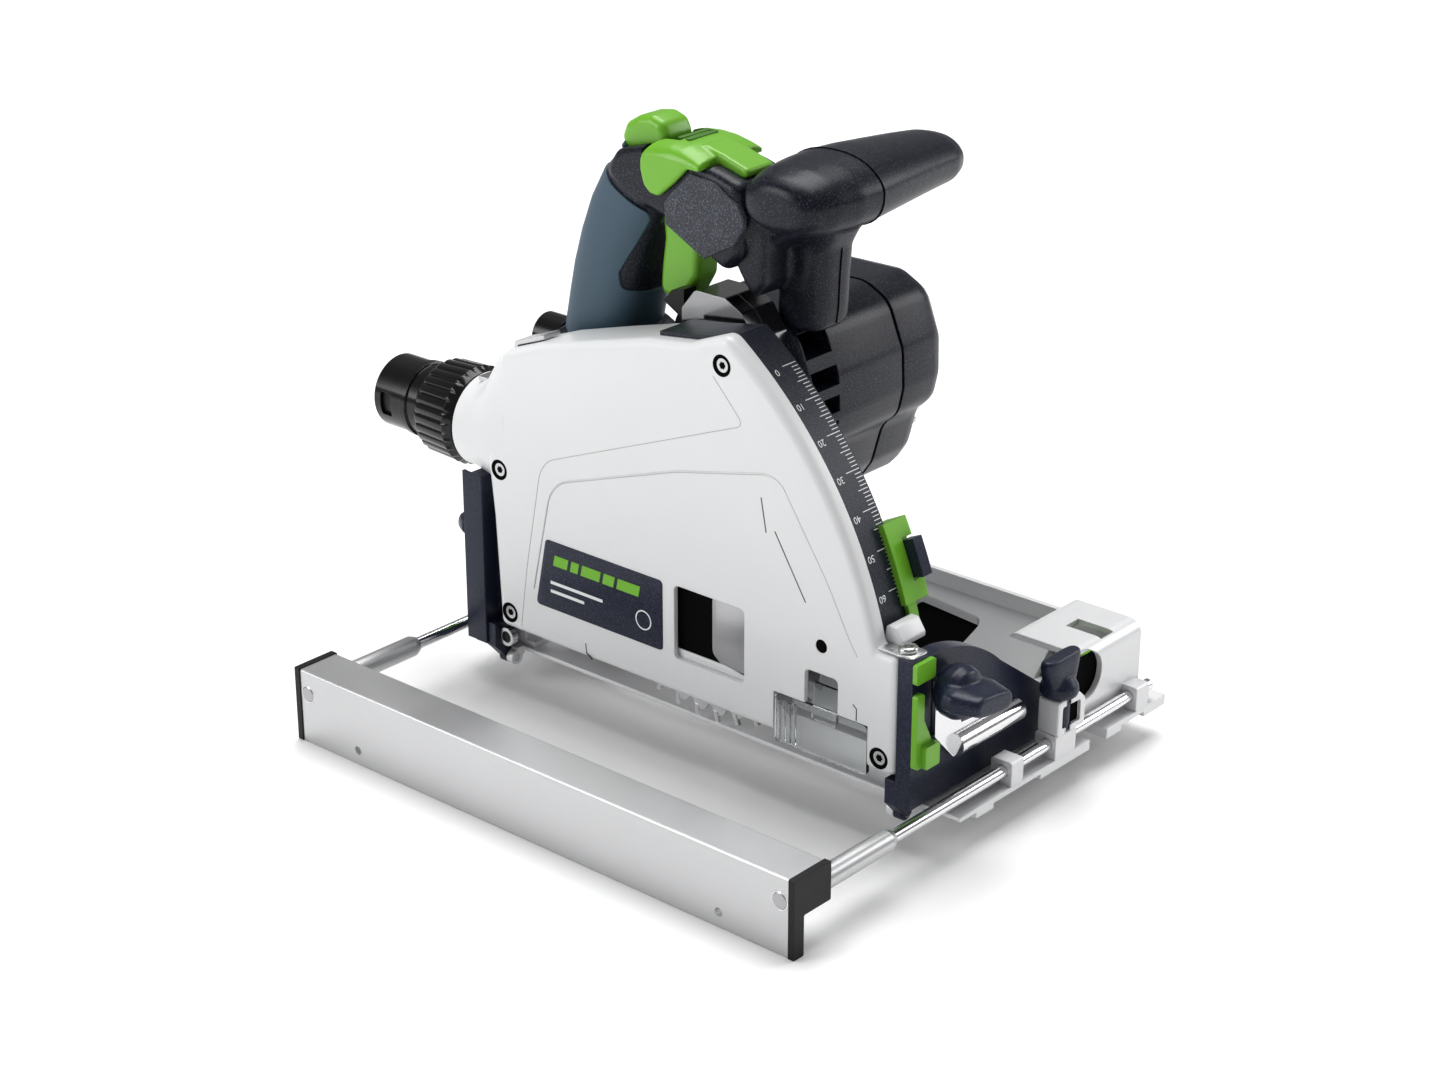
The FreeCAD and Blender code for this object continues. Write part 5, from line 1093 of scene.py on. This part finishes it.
@dataclass
class MainHandle:
    """Main D-handle: shells, soft overmould, side panel and cord socket."""

    body: str = "head"
    middle: float = -40.0
    spine: list[tuple[float, float, float, float]] = field(default_factory=lambda: [
        (-97.5, 140, 20.0, 16.5), (-94.5, 150, 21.0, 17.5), (-91, 164, 22.0, 18.0),
        (-87, 180, 22.5, 18.5), (-83.5, 196, 22.5, 18.5), (-79, 212, 22.0, 18.5),
        (-73.5, 227, 21.5, 18.5), (-66, 241, 21.0, 18.5), (-57, 252, 20.0, 18.0)])
    crown: Sequence[Vec2] = (
        (-78, 250), (-70, 262), (-52, 267), (-30, 267.0), (-8, 262.4), (5.5, 258.5), (6, 226),
        (-4, 217), (-34, 233), (-51, 238), (-57, 237))
    foot: Sequence[Vec2] = ((-118, 146), (-113, 166), (-70, 176), (-58, 170), (-50, 146))
    pocket: Sequence[Vec2] = ((-62, 190), (-30, 190), (-24, 226), (-38, 239), (-53, 239))
    jacket_front: Sequence[Vec2] = (
        (-110, 262), (-84, 250), (-74, 246), (-52.5, 235), (-52.5, 231), (-69.4, 203), (-69, 195),
        (-58.5, 192.5), (-30, 192), (-30, 262))
    panel: Sequence[Vec2] = (
        (-38.6, 243.6), (-35, 248), (-22.6, 260.2), (-8.3, 258), (5.2, 250.6), (8.6, 245.5),
        (8.6, 240), (3.2, 231.5), (-14.6, 221.8), (-37.8, 233.4))

    def sections(self, extra: float) -> list[list[Vec3]]:
        """Oval rings along the spine, square to it."""
        rings = []
        for i, (x, z, deep, wide) in enumerate(self.spine):
            before = self.spine[max(0, i - 1)]
            after = self.spine[min(len(self.spine) - 1, i + 1)]
            run = Vector((after[0] - before[0], after[1] - before[1])).normalized()
            across = Vector((run.y, -run.x))
            rings.append([(x + across.x * d, self.middle + w, z + across.y * d)
                          for d, w in oval(deep + extra, wide + extra, 0.85, 0.85, 40)])
        return rings

    def build(self) -> None:
        """Build the handle."""
        grip = Maker.loft("grip", self.sections(0.0))
        crown = Maker.plate("crown", rounded(self.crown, 6.0), "XZ", (-59, -21), 7.0, 5)
        foot = Maker.plate("foot", rounded(self.foot, 6.0), "XZ", (-57, -23), 6.0, 4)
        shell = Maker.blend("handle_shell", [grip, crown, foot], 1.2, 5)
        pocket = Maker.plate("pocket", self.pocket, "XZ", (self.middle - 9, self.middle + 9))
        rocker = Maker.plate("rocker", [(-90, 257.5), (-37, 262.5), (-33, 290), (-90, 290)],
                             "XZ", (self.middle - 11.5, self.middle + 11.5))
        Maker.carve(shell, [pocket, rocker, *self.lever_room()])
        fit(shell, GRAPHITE, self.body, ["handle_right", "handle_left"])
        self.overmould()
        self.side_panel()
        dress({"switch_block": BLACK, "cord_inlet": BLACK_GLOSS})

    def lever_room(self) -> list[bpy.types.Object]:
        """Recess under the blade-change lever."""
        saddle = Maker.plate("saddle_room", [(-35.5, 262.6), (-14, 262.6), (-8, 290), (-35.5, 290)],
                             "XZ", (-62, -18))
        rear = [Maker.plate(f"saddle_rear_{i}", [(-53, 262.6), (-35.4, 262.6), (-35.4, 290),
                                                (-58, 290)], "XZ", span)
                for i, span in enumerate(((-62, -48.6), (-31.4, -18)))]
        tongue = Maker.plate("tongue_room", [(-14.1, 258), (0, 256), (4, 290), (-14.1, 290)],
                             "XZ", (self.middle - 9.6, self.middle + 9.6))
        return [saddle, *rear, tongue]

    def overmould(self) -> None:
        """Slate jacket over the back and sides of the grip."""
        jacket = Maker.loft("soft_jacket", self.sections(0.9))
        front = Maker.plate("front_cut", rounded(self.jacket_front, 3.5), "XZ", (-70, -10))
        lower = Maker.plate("lower_cut", [(-140, 138), (-60, 138), (-60, 151), (-140, 151)],
                            "XZ", (-70, -10))
        Maker.carve(jacket, [front, lower], 40)
        fit(jacket, SLATE, self.body, ["soft_grip"])

    def side_panel(self) -> None:
        """Coarse-grained panels on both sides of the crown."""
        outline = rounded(self.panel, 1.6)
        for side, span in (("right", (-60.2, -57)), ("left", (-23, -19.8))):
            fit(Maker.plate(f"side_panel_{side}", outline, "XZ", span, 0.7, 3),
                COARSE_GRAPHITE, self.body)


@dataclass
class Controls:
    """Lime controls on the handle, and the small catch."""

    middle: float = -40.0
    saddle_half: float = 22.2
    saddle_foot: float = 262.0
    saddle: Sequence[Vec2] = (
        (-50.5, 266.5), (-48.5, 269.2), (-44, 270.8), (-36, 271.6), (-28, 271.0), (-21, 269.0),
        (-16, 266.8))
    finger: Sequence[Vec2] = (
        (-52, 238), (-39, 238), (-28.5, 224), (-29.5, 206), (-37, 193.4), (-53, 193.4), (-52, 208),
        (-50, 222))
    dome: Sequence[Vec2] = (
        (-72, 259), (-74.5, 266), (-71.5, 272.5), (-64, 277), (-56, 278.2), (-49, 276), (-46, 270),
        (-47, 264.5), (-58, 260))
    lobe: Sequence[Vec2] = (
        (-51.5, 264), (-51.5, 257), (-49.5, 250), (-45.5, 246.6), (-40.5, 246.2), (-31.5, 253.8),
        (-23.0, 262.2), (-27, 265.5), (-40, 267))
    strip: Sequence[Vec2] = (
        (-24, 260.6), (-5, 257.8), (2, 260.2), (2, 263.6), (-14, 268.4), (-26, 271.2))

    def build(self) -> None:
        """Build and dress the controls."""
        dress({"latch": BLACK})
        self.trigger()
        self.rocker()
        self.lever()

    def across(self, half: float) -> Vec2:
        """Span of a piece centred on the handle."""
        return (self.middle - half, self.middle + half)

    def trigger(self) -> None:
        """Finger trigger with a hollow for the finger."""
        pull = Maker.plate("trigger_pull_piece", rounded(self.finger, 7.0), "XZ",
                           self.across(8.4), 3.8, 6)
        fit(pull, LIME, "trigger_body", ["trigger"])

    def rocker(self) -> None:
        """Domed lock-off rocker over the top rear of the handle."""
        dome = Maker.plate("lock_off_rocker", rounded(self.dome, 6.0), "XZ", self.across(10.0),
                           5.5, 7)
        fit(dome, LIME, "lock_off_body", ["lock_off"])

    def lever(self) -> None:
        """Saddle lever with a rounded lobe down each side and a strip to the front."""
        rings = []
        for x, crown in self.saddle:
            arc = [(x, self.middle + self.saddle_half * squared(math.cos(t), 0.62),
                    self.saddle_foot + (crown - self.saddle_foot) * math.sin(t) ** 0.6)
                   for t in (math.pi * k / 24 for k in range(25))]
            rings.append(arc)
        parts = [Maker.loft("saddle", rings)]
        lobe = rounded(self.lobe, 4.5)
        for i, span in enumerate(((-62.3, -58.6), (-21.4, -17.7))):
            parts.append(Maker.plate(f"lobe_{i}", lobe, "XZ", span, 1.4, 4))
        parts.append(Maker.plate("strip", rounded(self.strip, 2.0), "XZ", self.across(9.4), 1.8,
                                 3))
        lever = Maker.blend("change_lever", parts, 0.7, 3)
        room = Maker.plate("room", [(-60, 230), (-10, 230), (-10, 262.4), (-60, 262.4)], "XZ",
                           (-59.4, -20.6))
        notch = Maker.plate("notch", [(-80, 230), (-35.6, 230), (-35.6, 300), (-80, 300)], "XZ",
                            self.across(11.9))
        Maker.carve(lever, [room, notch], 40)
        fit(lever, LIME, "blade_lever_body", ["blade_lever"])
        # Painted shade: two darker lime stripes on the top of the lever.
        pads = [Maker.plate(f"pad_{i}", rounded([(x, -50), (x + 3, -50), (x + 3, -30),
                (x, -30)], 1.0), "XY", (270.6, 271.9), 0.2, 2)
                for i, x in enumerate((-39, -34.5))]
        fit(Maker.merge("lever_shade_pads", pads), LIME_PAINTED_SHADE, "blade_lever_body")


@dataclass
class MotorCase:
    """Motor case with its end cap and air slots."""

    body: str = "head"
    outline: list[Vec2] = field(default_factory=lambda: [
        (-52, 182), (-40, 193), (7, 194), (21, 187), (30, 165), (31, 146), (28, 132), (19, 125),
        (13, 104), (6, 94), (-17, 80), (-40, 86), (-50, 104), (-56, 130), (-56, 165)])
    slots: Sequence[Vec2] = ((176, 187), (161, 170), (148, 156), (136, 143.5))
    cap: Sequence[Vec2] = (
        (31.3, 0.0), (54, 0.0), (59, 1.2), (63, 4.0), (65.2, 8.0), (66, 13.0))

    def build(self) -> None:
        """Build and dress the motor case."""
        line = rounded(self.outline, 16.0, 6)
        case = Maker.plate("motor_case", line, "XZ", (-38, 30.6), 1.6, 3)
        slots = [Maker.plate(f"slot_{i}", rounded([(4, low), (44, low), (44, high), (4, high)],
                                                  1.2), "XZ", (-35.5, -17))
                 for i, (low, high) in enumerate(self.slots)]
        chamber = Maker.lathe("chamber", [(-34, 26), (-16, 26), (-16, 4), (-34, 4)], "Y",
                              (-12, 0, 152), 40)
        Maker.carve(case, slots + [chamber])
        fit(case, GRAPHITE, self.body, ["motor_housing"])
        rings = [[(x, y, z) for x, z in self.shrunk(line, inset)] for y, inset in self.cap]
        fit(Maker.loft("motor_end_cap", rings, 50), GRAPHITE, self.body, ["motor_cap"])
        dress({"gear_cover": GEAR_ALLOY, "gear_housing": GEAR_ALLOY, "stator": WINDING,
               "control_board": BOARD, "ball_bearings": BEARING, "housing_screws": STEEL,
               "return_spring": STEEL, "pinion_shaft": STEEL, "rotor_core": WINDING,
               "cooling_fan": BLACK, "idler_gear": STEEL, "drive_gear": STEEL,
               "arbor_shaft": STEEL, "blade_flanges": STEEL, "arbor_screw": STEEL,
               "saw_blade": GROUND})

    @staticmethod
    def shrunk(line: Sequence[Vec2], inset: float) -> list[Vec2]:
        """Outline drawn in towards its middle."""
        cx = sum(p[0] for p in line) / len(line)
        cz = sum(p[1] for p in line) / len(line)
        out = []
        for x, z in line:
            reach = math.hypot(x - cx, z - cz)
            k = 1 - inset / reach
            out.append((cx + (x - cx) * k, cz + (z - cz) * k))
        return out


@dataclass
class BevelBrackets:
    """Bevel segments, their clamps, knobs and green stops."""

    stud: Vec2 = (-73.06, 62.04)
    lean: float = -8.0          # the wing's turn from level, in degrees
    seat_x: float = 137.8
    rear_reach: float = 0.62    # length of the rear wing over the front one's
    wing: Sequence[Vec3] = (
        (4, 12, 6.4), (9, 16.5, 6.4), (14, 17.5, 6.0), (20, 15.5, 5.4), (25, 13.4, 5.0),
        (26.5, 12.2, 4.0))
    rod_stem: Sequence[Vec2] = (
        (15.1, 3.0), (17.6, 3.0), (17.6, 5.4), (34.6, 5.4), (35.0, 8.4), (37, 9.2), (40, 8.8),
        (44, 6.0), (46, 1.0))
    rod_wing: Sequence[Vec3] = (
        (37, 7.5, 5.4), (41, 9.0, 4.8), (46, 11.2, 4.4), (51, 12.8, 4.2), (53.6, 13.0, 3.8),
        (54.6, 12.0, 2.8))

    def build(self) -> None:
        """Build and dress both ends."""
        dress({"bevel_segment_front": SEGMENT_NAVY, "bevel_segment_rear": SEGMENT_NAVY,
               "bevel_markers": LIME, "bevel_stop_front": LIME, "bevel_stop_rear": LIME,
               "clamp_studs": STEEL, "stop_bars": ROD, "bevel_posts": CAST_WHITE,
               "bevel_pivot_pins": STEEL})
        for side, end in ((1, "front"), (-1, "rear")):
            knob = self.knob(f"bevel_knob_{end}_piece", side)
            fit(knob, NAVY, f"bevel_knob_{end}_body", [f"bevel_knob_{end}"])
            fit(self.rod_knob(f"rod_knob_{end}_piece", side), NAVY, f"rod_knob_{end}_body",
                [f"rod_knob_{end}"])
        cheek = Maker.plate("rear_cheek", rounded([(-139.4, -95.6), (-126.4, -95.6),
                            (-126.4, -94.2), (-136.4, -94.2), (-139.4, -93.4)], 0.3), "XY",
                            (9, 97.5), 0.4, 2)
        fit(cheek, SEGMENT_NAVY, "guard")

    def knob(self, name: str, side: int) -> bpy.types.Object:
        """Wing knob on the bevel stud."""
        y, z = self.stud
        seat = self.seat_x
        hub = Maker.lathe("hub", [(seat, 10.5), (seat + 3, 12.2), (seat + 8, 12.6),
                                  (seat + 12, 11.0), (seat + 14, 7.5), (seat + 15, 3.0)], "X",
                          (0, y, z), 40)
        rings = []
        along, rising = math.cos(math.radians(self.lean)), math.sin(math.radians(self.lean))
        reach = 1.0 if side > 0 else self.rear_reach
        for rise, half, thick in self.wing:
            rings.append([(seat + rise * reach, y + a * along + b * rising,
                           z + a * rising - b * along)
                          for a, b in oval(half, thick, 0.55, 0.7, 28)])
        wing = Maker.loft("wing", rings)
        made = Maker.blend(name, [hub, wing], 0.7, 3)
        if side < 0:
            self.mirror(made)
        return made

    def rod_knob(self, name: str, side: int) -> bpy.types.Object:
        """Wing knob with its screw, over a fence rod."""
        x = ROD_AT[0]
        stem = Maker.lathe("stem", self.rod_stem, "Z", (x, 0, 0), 36)
        rings = [[(x + b, a, z) for a, b in oval(half, thick, 0.45, 0.7, 28)]
                 for z, half, thick in self.rod_wing]
        made = Maker.blend(name, [stem, Maker.loft("wing", rings)], 0.6, 3)
        if side < 0:
            self.mirror(made)
        return made

    @staticmethod
    def mirror(made: bpy.types.Object) -> None:
        """Mirror a mesh across the middle of the saw."""
        made.data.transform(Matrix.Scale(-1, 4, (1, 0, 0)))
        made.data.flip_normals()


@dataclass
class Base:
    """Base plate, rail adjusters and small fittings."""

    body: str = "base"
    tower_x: Vec2 = (141.5, 153.2)
    tower_side: Sequence[Vec2] = ((-7.6, 16.6), (13.6, 16.6), (13.6, 30), (9, 34.4), (-7.6, 34.4))
    tower_pocket: Sequence[Vec2] = ((-4.6, 20), (9.6, 20), (9.6, 30.4), (-4.6, 31))
    hood_mouth: Sequence[Vec2] = ((24, 12), (43, 12), (43, 40.5), (24, 40.5))

    def build(self) -> None:
        """Dress the base and add its clamp towers and the painted shade behind its openings."""
        dress({"base_plate": CAST_WHITE, "rail_cam_front": LIME, "rail_cam_rear": LIME})
        for side, end in ((1, "front"), (-1, "rear")):
            self.tower(side, end)
            self.hood_shade(side, end)
        # Painted shade: near-black sheets behind the openings in the base's slopes.
        for name, span in (("front", (6, 66)), ("rear", (-68, -16))):
            fit(Maker.plate(f"slope_shade_{name}", [(40.5, 0.6), (64.5, 20.4), (64.5, 21.2),
                            (40.5, 1.4)], "YZ", span), SHADE_AND_SEAM_BLACK, self.body)

    def tower(self, side: int, end: str) -> None:
        """Framed block round the screw of a rod clamp.

        Args:
            side: 1 at the front, -1 at the rear.
            end: the end's name.
        """
        block = Maker.plate("block", rounded(self.tower_side, 2.0), "YZ", self.tower_x, 0.8, 3)
        well = Maker.lathe("well", [(10, 5.9), (40, 5.9)], "Z", (ROD_AT[0], 0, 0), 32)
        pocket = Maker.plate("pocket", rounded(self.tower_pocket, 1.5), "YZ", (151.4, 156))
        Maker.carve(block, [well, pocket])
        # Painted shade: a near-black sheet at the back of the tower's pocket.
        shade_sheet = Maker.plate("shade_sheet", [(-5.0, 19.6), (10, 19.6), (10, 31.2), (-5, 31.2)], "YZ",
                            (151.1, 151.5))
        for made, finish, name in ((block, CAST_WHITE, "clamp_tower"),
                                   (shade_sheet, SHADE_AND_SEAM_BLACK, "tower_shade")):
            if side < 0:
                BevelBrackets.mirror(made)
            made.name = f"{name}_{end}"
            fit(made, finish, self.body)

    def hood_shade(self, side: int, end: str) -> None:
        """Painted shade: a near-black wall behind the mouth of an end hood."""
        shade_sheet = Maker.plate(f"hood_shade_{end}", rounded(self.hood_mouth, 3.0), "YZ",
                            (139.6, 140.4))
        if side < 0:
            BevelBrackets.mirror(shade_sheet)
        fit(shade_sheet, SHADE_AND_SEAM_BLACK, self.body)


@dataclass
class Fence:
    """Side fence on its two rods."""

    body: str = "fence"
    face_y: float = -195.0

    def build(self) -> None:
        """Dress the fence and add its rod screws."""
        dress({"fence_bar": ANODISED, "fence_end_caps": BLACK, "guide_rods": ROD,
               "rod_sleeves": ANODISED})
        for side, end in ((1, "front"), (-1, "rear")):
            disc = Maker.lathe(f"rod_end_{end}", [(-0.35, 0.02), (-0.35, 3.6), (0.05, 4.1),
                                                  (0.3, 4.1)], "Y",
                               (side * (ROD_AT[0] - 2), self.face_y, ROD_AT[1]), 40)
            fit(disc, FLANK, self.body)


@dataclass
class DustOutlet:
    """Turning hose outlet."""

    body: str = "dust_outlet"
    ribs: int = 28
    rib_height: float = 1.1
    collar: Sequence[Vec2] = (
        (-174.4, 18.6), (-174.4, 21.6), (-172.4, 22.4), (-171.4, 22.9), (-153.4, 23.6),
        (-151.6, 23.9), (-149.2, 23.4), (-147.6, 22.8), (-147.6, 18.6))
    tube: Sequence[Vec2] = (
        (-207, 16.6), (-207, 17.8), (-206.2, 18.5), (-188, 18.5), (-187.4, 19.4), (-184, 19.4),
        (-183.4, 18.4), (-135, 18.4), (-135, 16))
    lining: Sequence[Vec2] = ((-206, 16.2), (-206, 16.9), (-188, 16.9), (-188, 16.2))
    slot: Sequence[Vec2] = ((-202, 109), (-195, 109), (-195, 121), (-202, 121))
    slot_spans: Sequence[Vec2] = ((-93, -86), (-57, -50))

    def build(self) -> None:
        """Dress the outlet."""
        collar = Maker.lathe("collar_ribbed", self.collar, "X", HOSE_AXIS, 12 * self.ribs, 40,
                             joined=True, ribs=self.ribs, proud=self.rib_height)
        fit(collar, BLACK_GLOSS, self.body, ["dust_collar"])
        tube = Maker.lathe("hose_tube", self.tube, "X", HOSE_AXIS, 96, 40, joined=True)
        slots = [Maker.plate(f"slot_{i}", rounded(self.slot, 1.2), "XZ", span)
                 for i, span in enumerate(self.slot_spans)]
        fit(Maker.carve(tube, slots, 40), BLACK_GLOSS, self.body, ["dust_tube"])
        sleeve = Maker.lathe("tube_lining", self.lining, "X", HOSE_AXIS, 64, 40, joined=True)
        fit(sleeve, BLACK, self.body)


@dataclass
class DepthStop:
    """Depth stop with its button."""

    def build(self) -> None:
        """Dress the stop."""
        dress({"depth_stop": LIME, "depth_stop_button": NAVY})


@dataclass
class Studio:
    """Floor, lights and camera."""

    floor_z: float = -14.0
    eye: Vec3 = (814.0, -998.0, 625.0)
    azimuth: float = 41.07
    elevation: float = 23.4
    lens: float = 72.62
    sensor: float = 36.0
    gamma: float = 0.86
    surround: float = 0.30
    sun_power: float = 2.75
    sun_spread: float = 48.0    # degrees across
    sun_from: Vec3 = (-0.35, 0.45, 1.6)
    boxes: Sequence[tuple[str, Vec3, Vec3, float, float]] = (
        ("left", (-1.1, -1.6, 0.9), (0.0, -0.1, 0.1), 1.0, 16.0),
        ("back", (0.9, 1.5, 0.8), (0.0, 0.0, 0.15), 0.8, 9.0))
    floor_edge: float = 6000.0

    def build(self) -> None:
        """Set the scene around the saw."""
        self.floor()
        self.lights()
        self.camera()

    def floor(self) -> None:
        """Plain pale floor."""
        edge = self.floor_edge
        points = [(sx * edge, sy * edge, self.floor_z)
                  for sx, sy in ((-1, -1), (1, -1), (1, 1), (-1, 1))]
        floor = Maker.mesh("floor", [tuple(v * MM for v in p) for p in points], [(0, 1, 2, 3)])
        g = Graph("floor_paper")
        tone = g.mix(g.noise(3.0, 2.0), (0.955, 0.955, 0.955), (0.965, 0.965, 0.965))
        floor.data.materials.append(g.finish({"Base Color": tone}, {"Roughness": 0.8}, None, 0, 0,
                                             0))

    def lights(self) -> None:
        """Even overhead light with soft boxes on both sides."""
        world = bpy.data.worlds.new("surround")
        bpy.context.scene.world = world
        world.use_nodes = True
        sky = world.node_tree.nodes["Background"].inputs
        sky["Color"].default_value = (1, 1, 1, 1)
        sky["Strength"].default_value = self.surround
        overhead = bpy.data.lights.new("overhead", "SUN")
        overhead.energy = self.sun_power
        overhead.angle = math.radians(self.sun_spread)
        self.hang("overhead", overhead, self.sun_from, (0.0, 0.0, 0.0))
        for name, spot, aim, size, power in self.boxes:
            lamp = bpy.data.lights.new(f"box_{name}", "AREA")
            lamp.shape = "SQUARE"
            lamp.size = size
            lamp.energy = power
            self.hang(f"box_{name}", lamp, spot, aim)

    @staticmethod
    def hang(name: str, lamp: bpy.types.Light, spot: Vec3, aim: Vec3) -> None:
        """Place a lamp so that it points at a spot."""
        made = Maker.linked(name, lamp)
        made.location = spot
        made.rotation_euler = (Vector(aim) - Vector(spot)).to_track_quat("-Z", "Y").to_euler()

    def camera(self) -> None:
        """Camera looking down on the guard side from the front."""
        lens = bpy.data.cameras.new("view")
        lens.lens = self.lens
        lens.sensor_width = self.sensor
        lens.clip_start = 0.05
        made = Maker.linked("view", lens)
        made.location = tuple(v * MM for v in self.eye)
        made.rotation_euler = Euler((math.radians(90 - self.elevation), 0,
                                     math.radians(self.azimuth)))
        scene = bpy.context.scene
        scene.camera = made
        scene.view_settings.view_transform = "Standard"
        scene.view_settings.gamma = self.gamma


def main() -> None:
    """Build the saw and its studio."""
    logging.basicConfig(level=logging.INFO, format="%(message)s")
    for unit in (Guard(), DepthBand(), FrontHandle(), MainHandle(), Controls(), MotorCase(),
                 BevelBrackets(), Base(), Fence(), DustOutlet(), DepthStop(), Studio()):
        unit.build()
        log.info("built %s", type(unit).__name__)


if __name__ == "__main__":
    main()
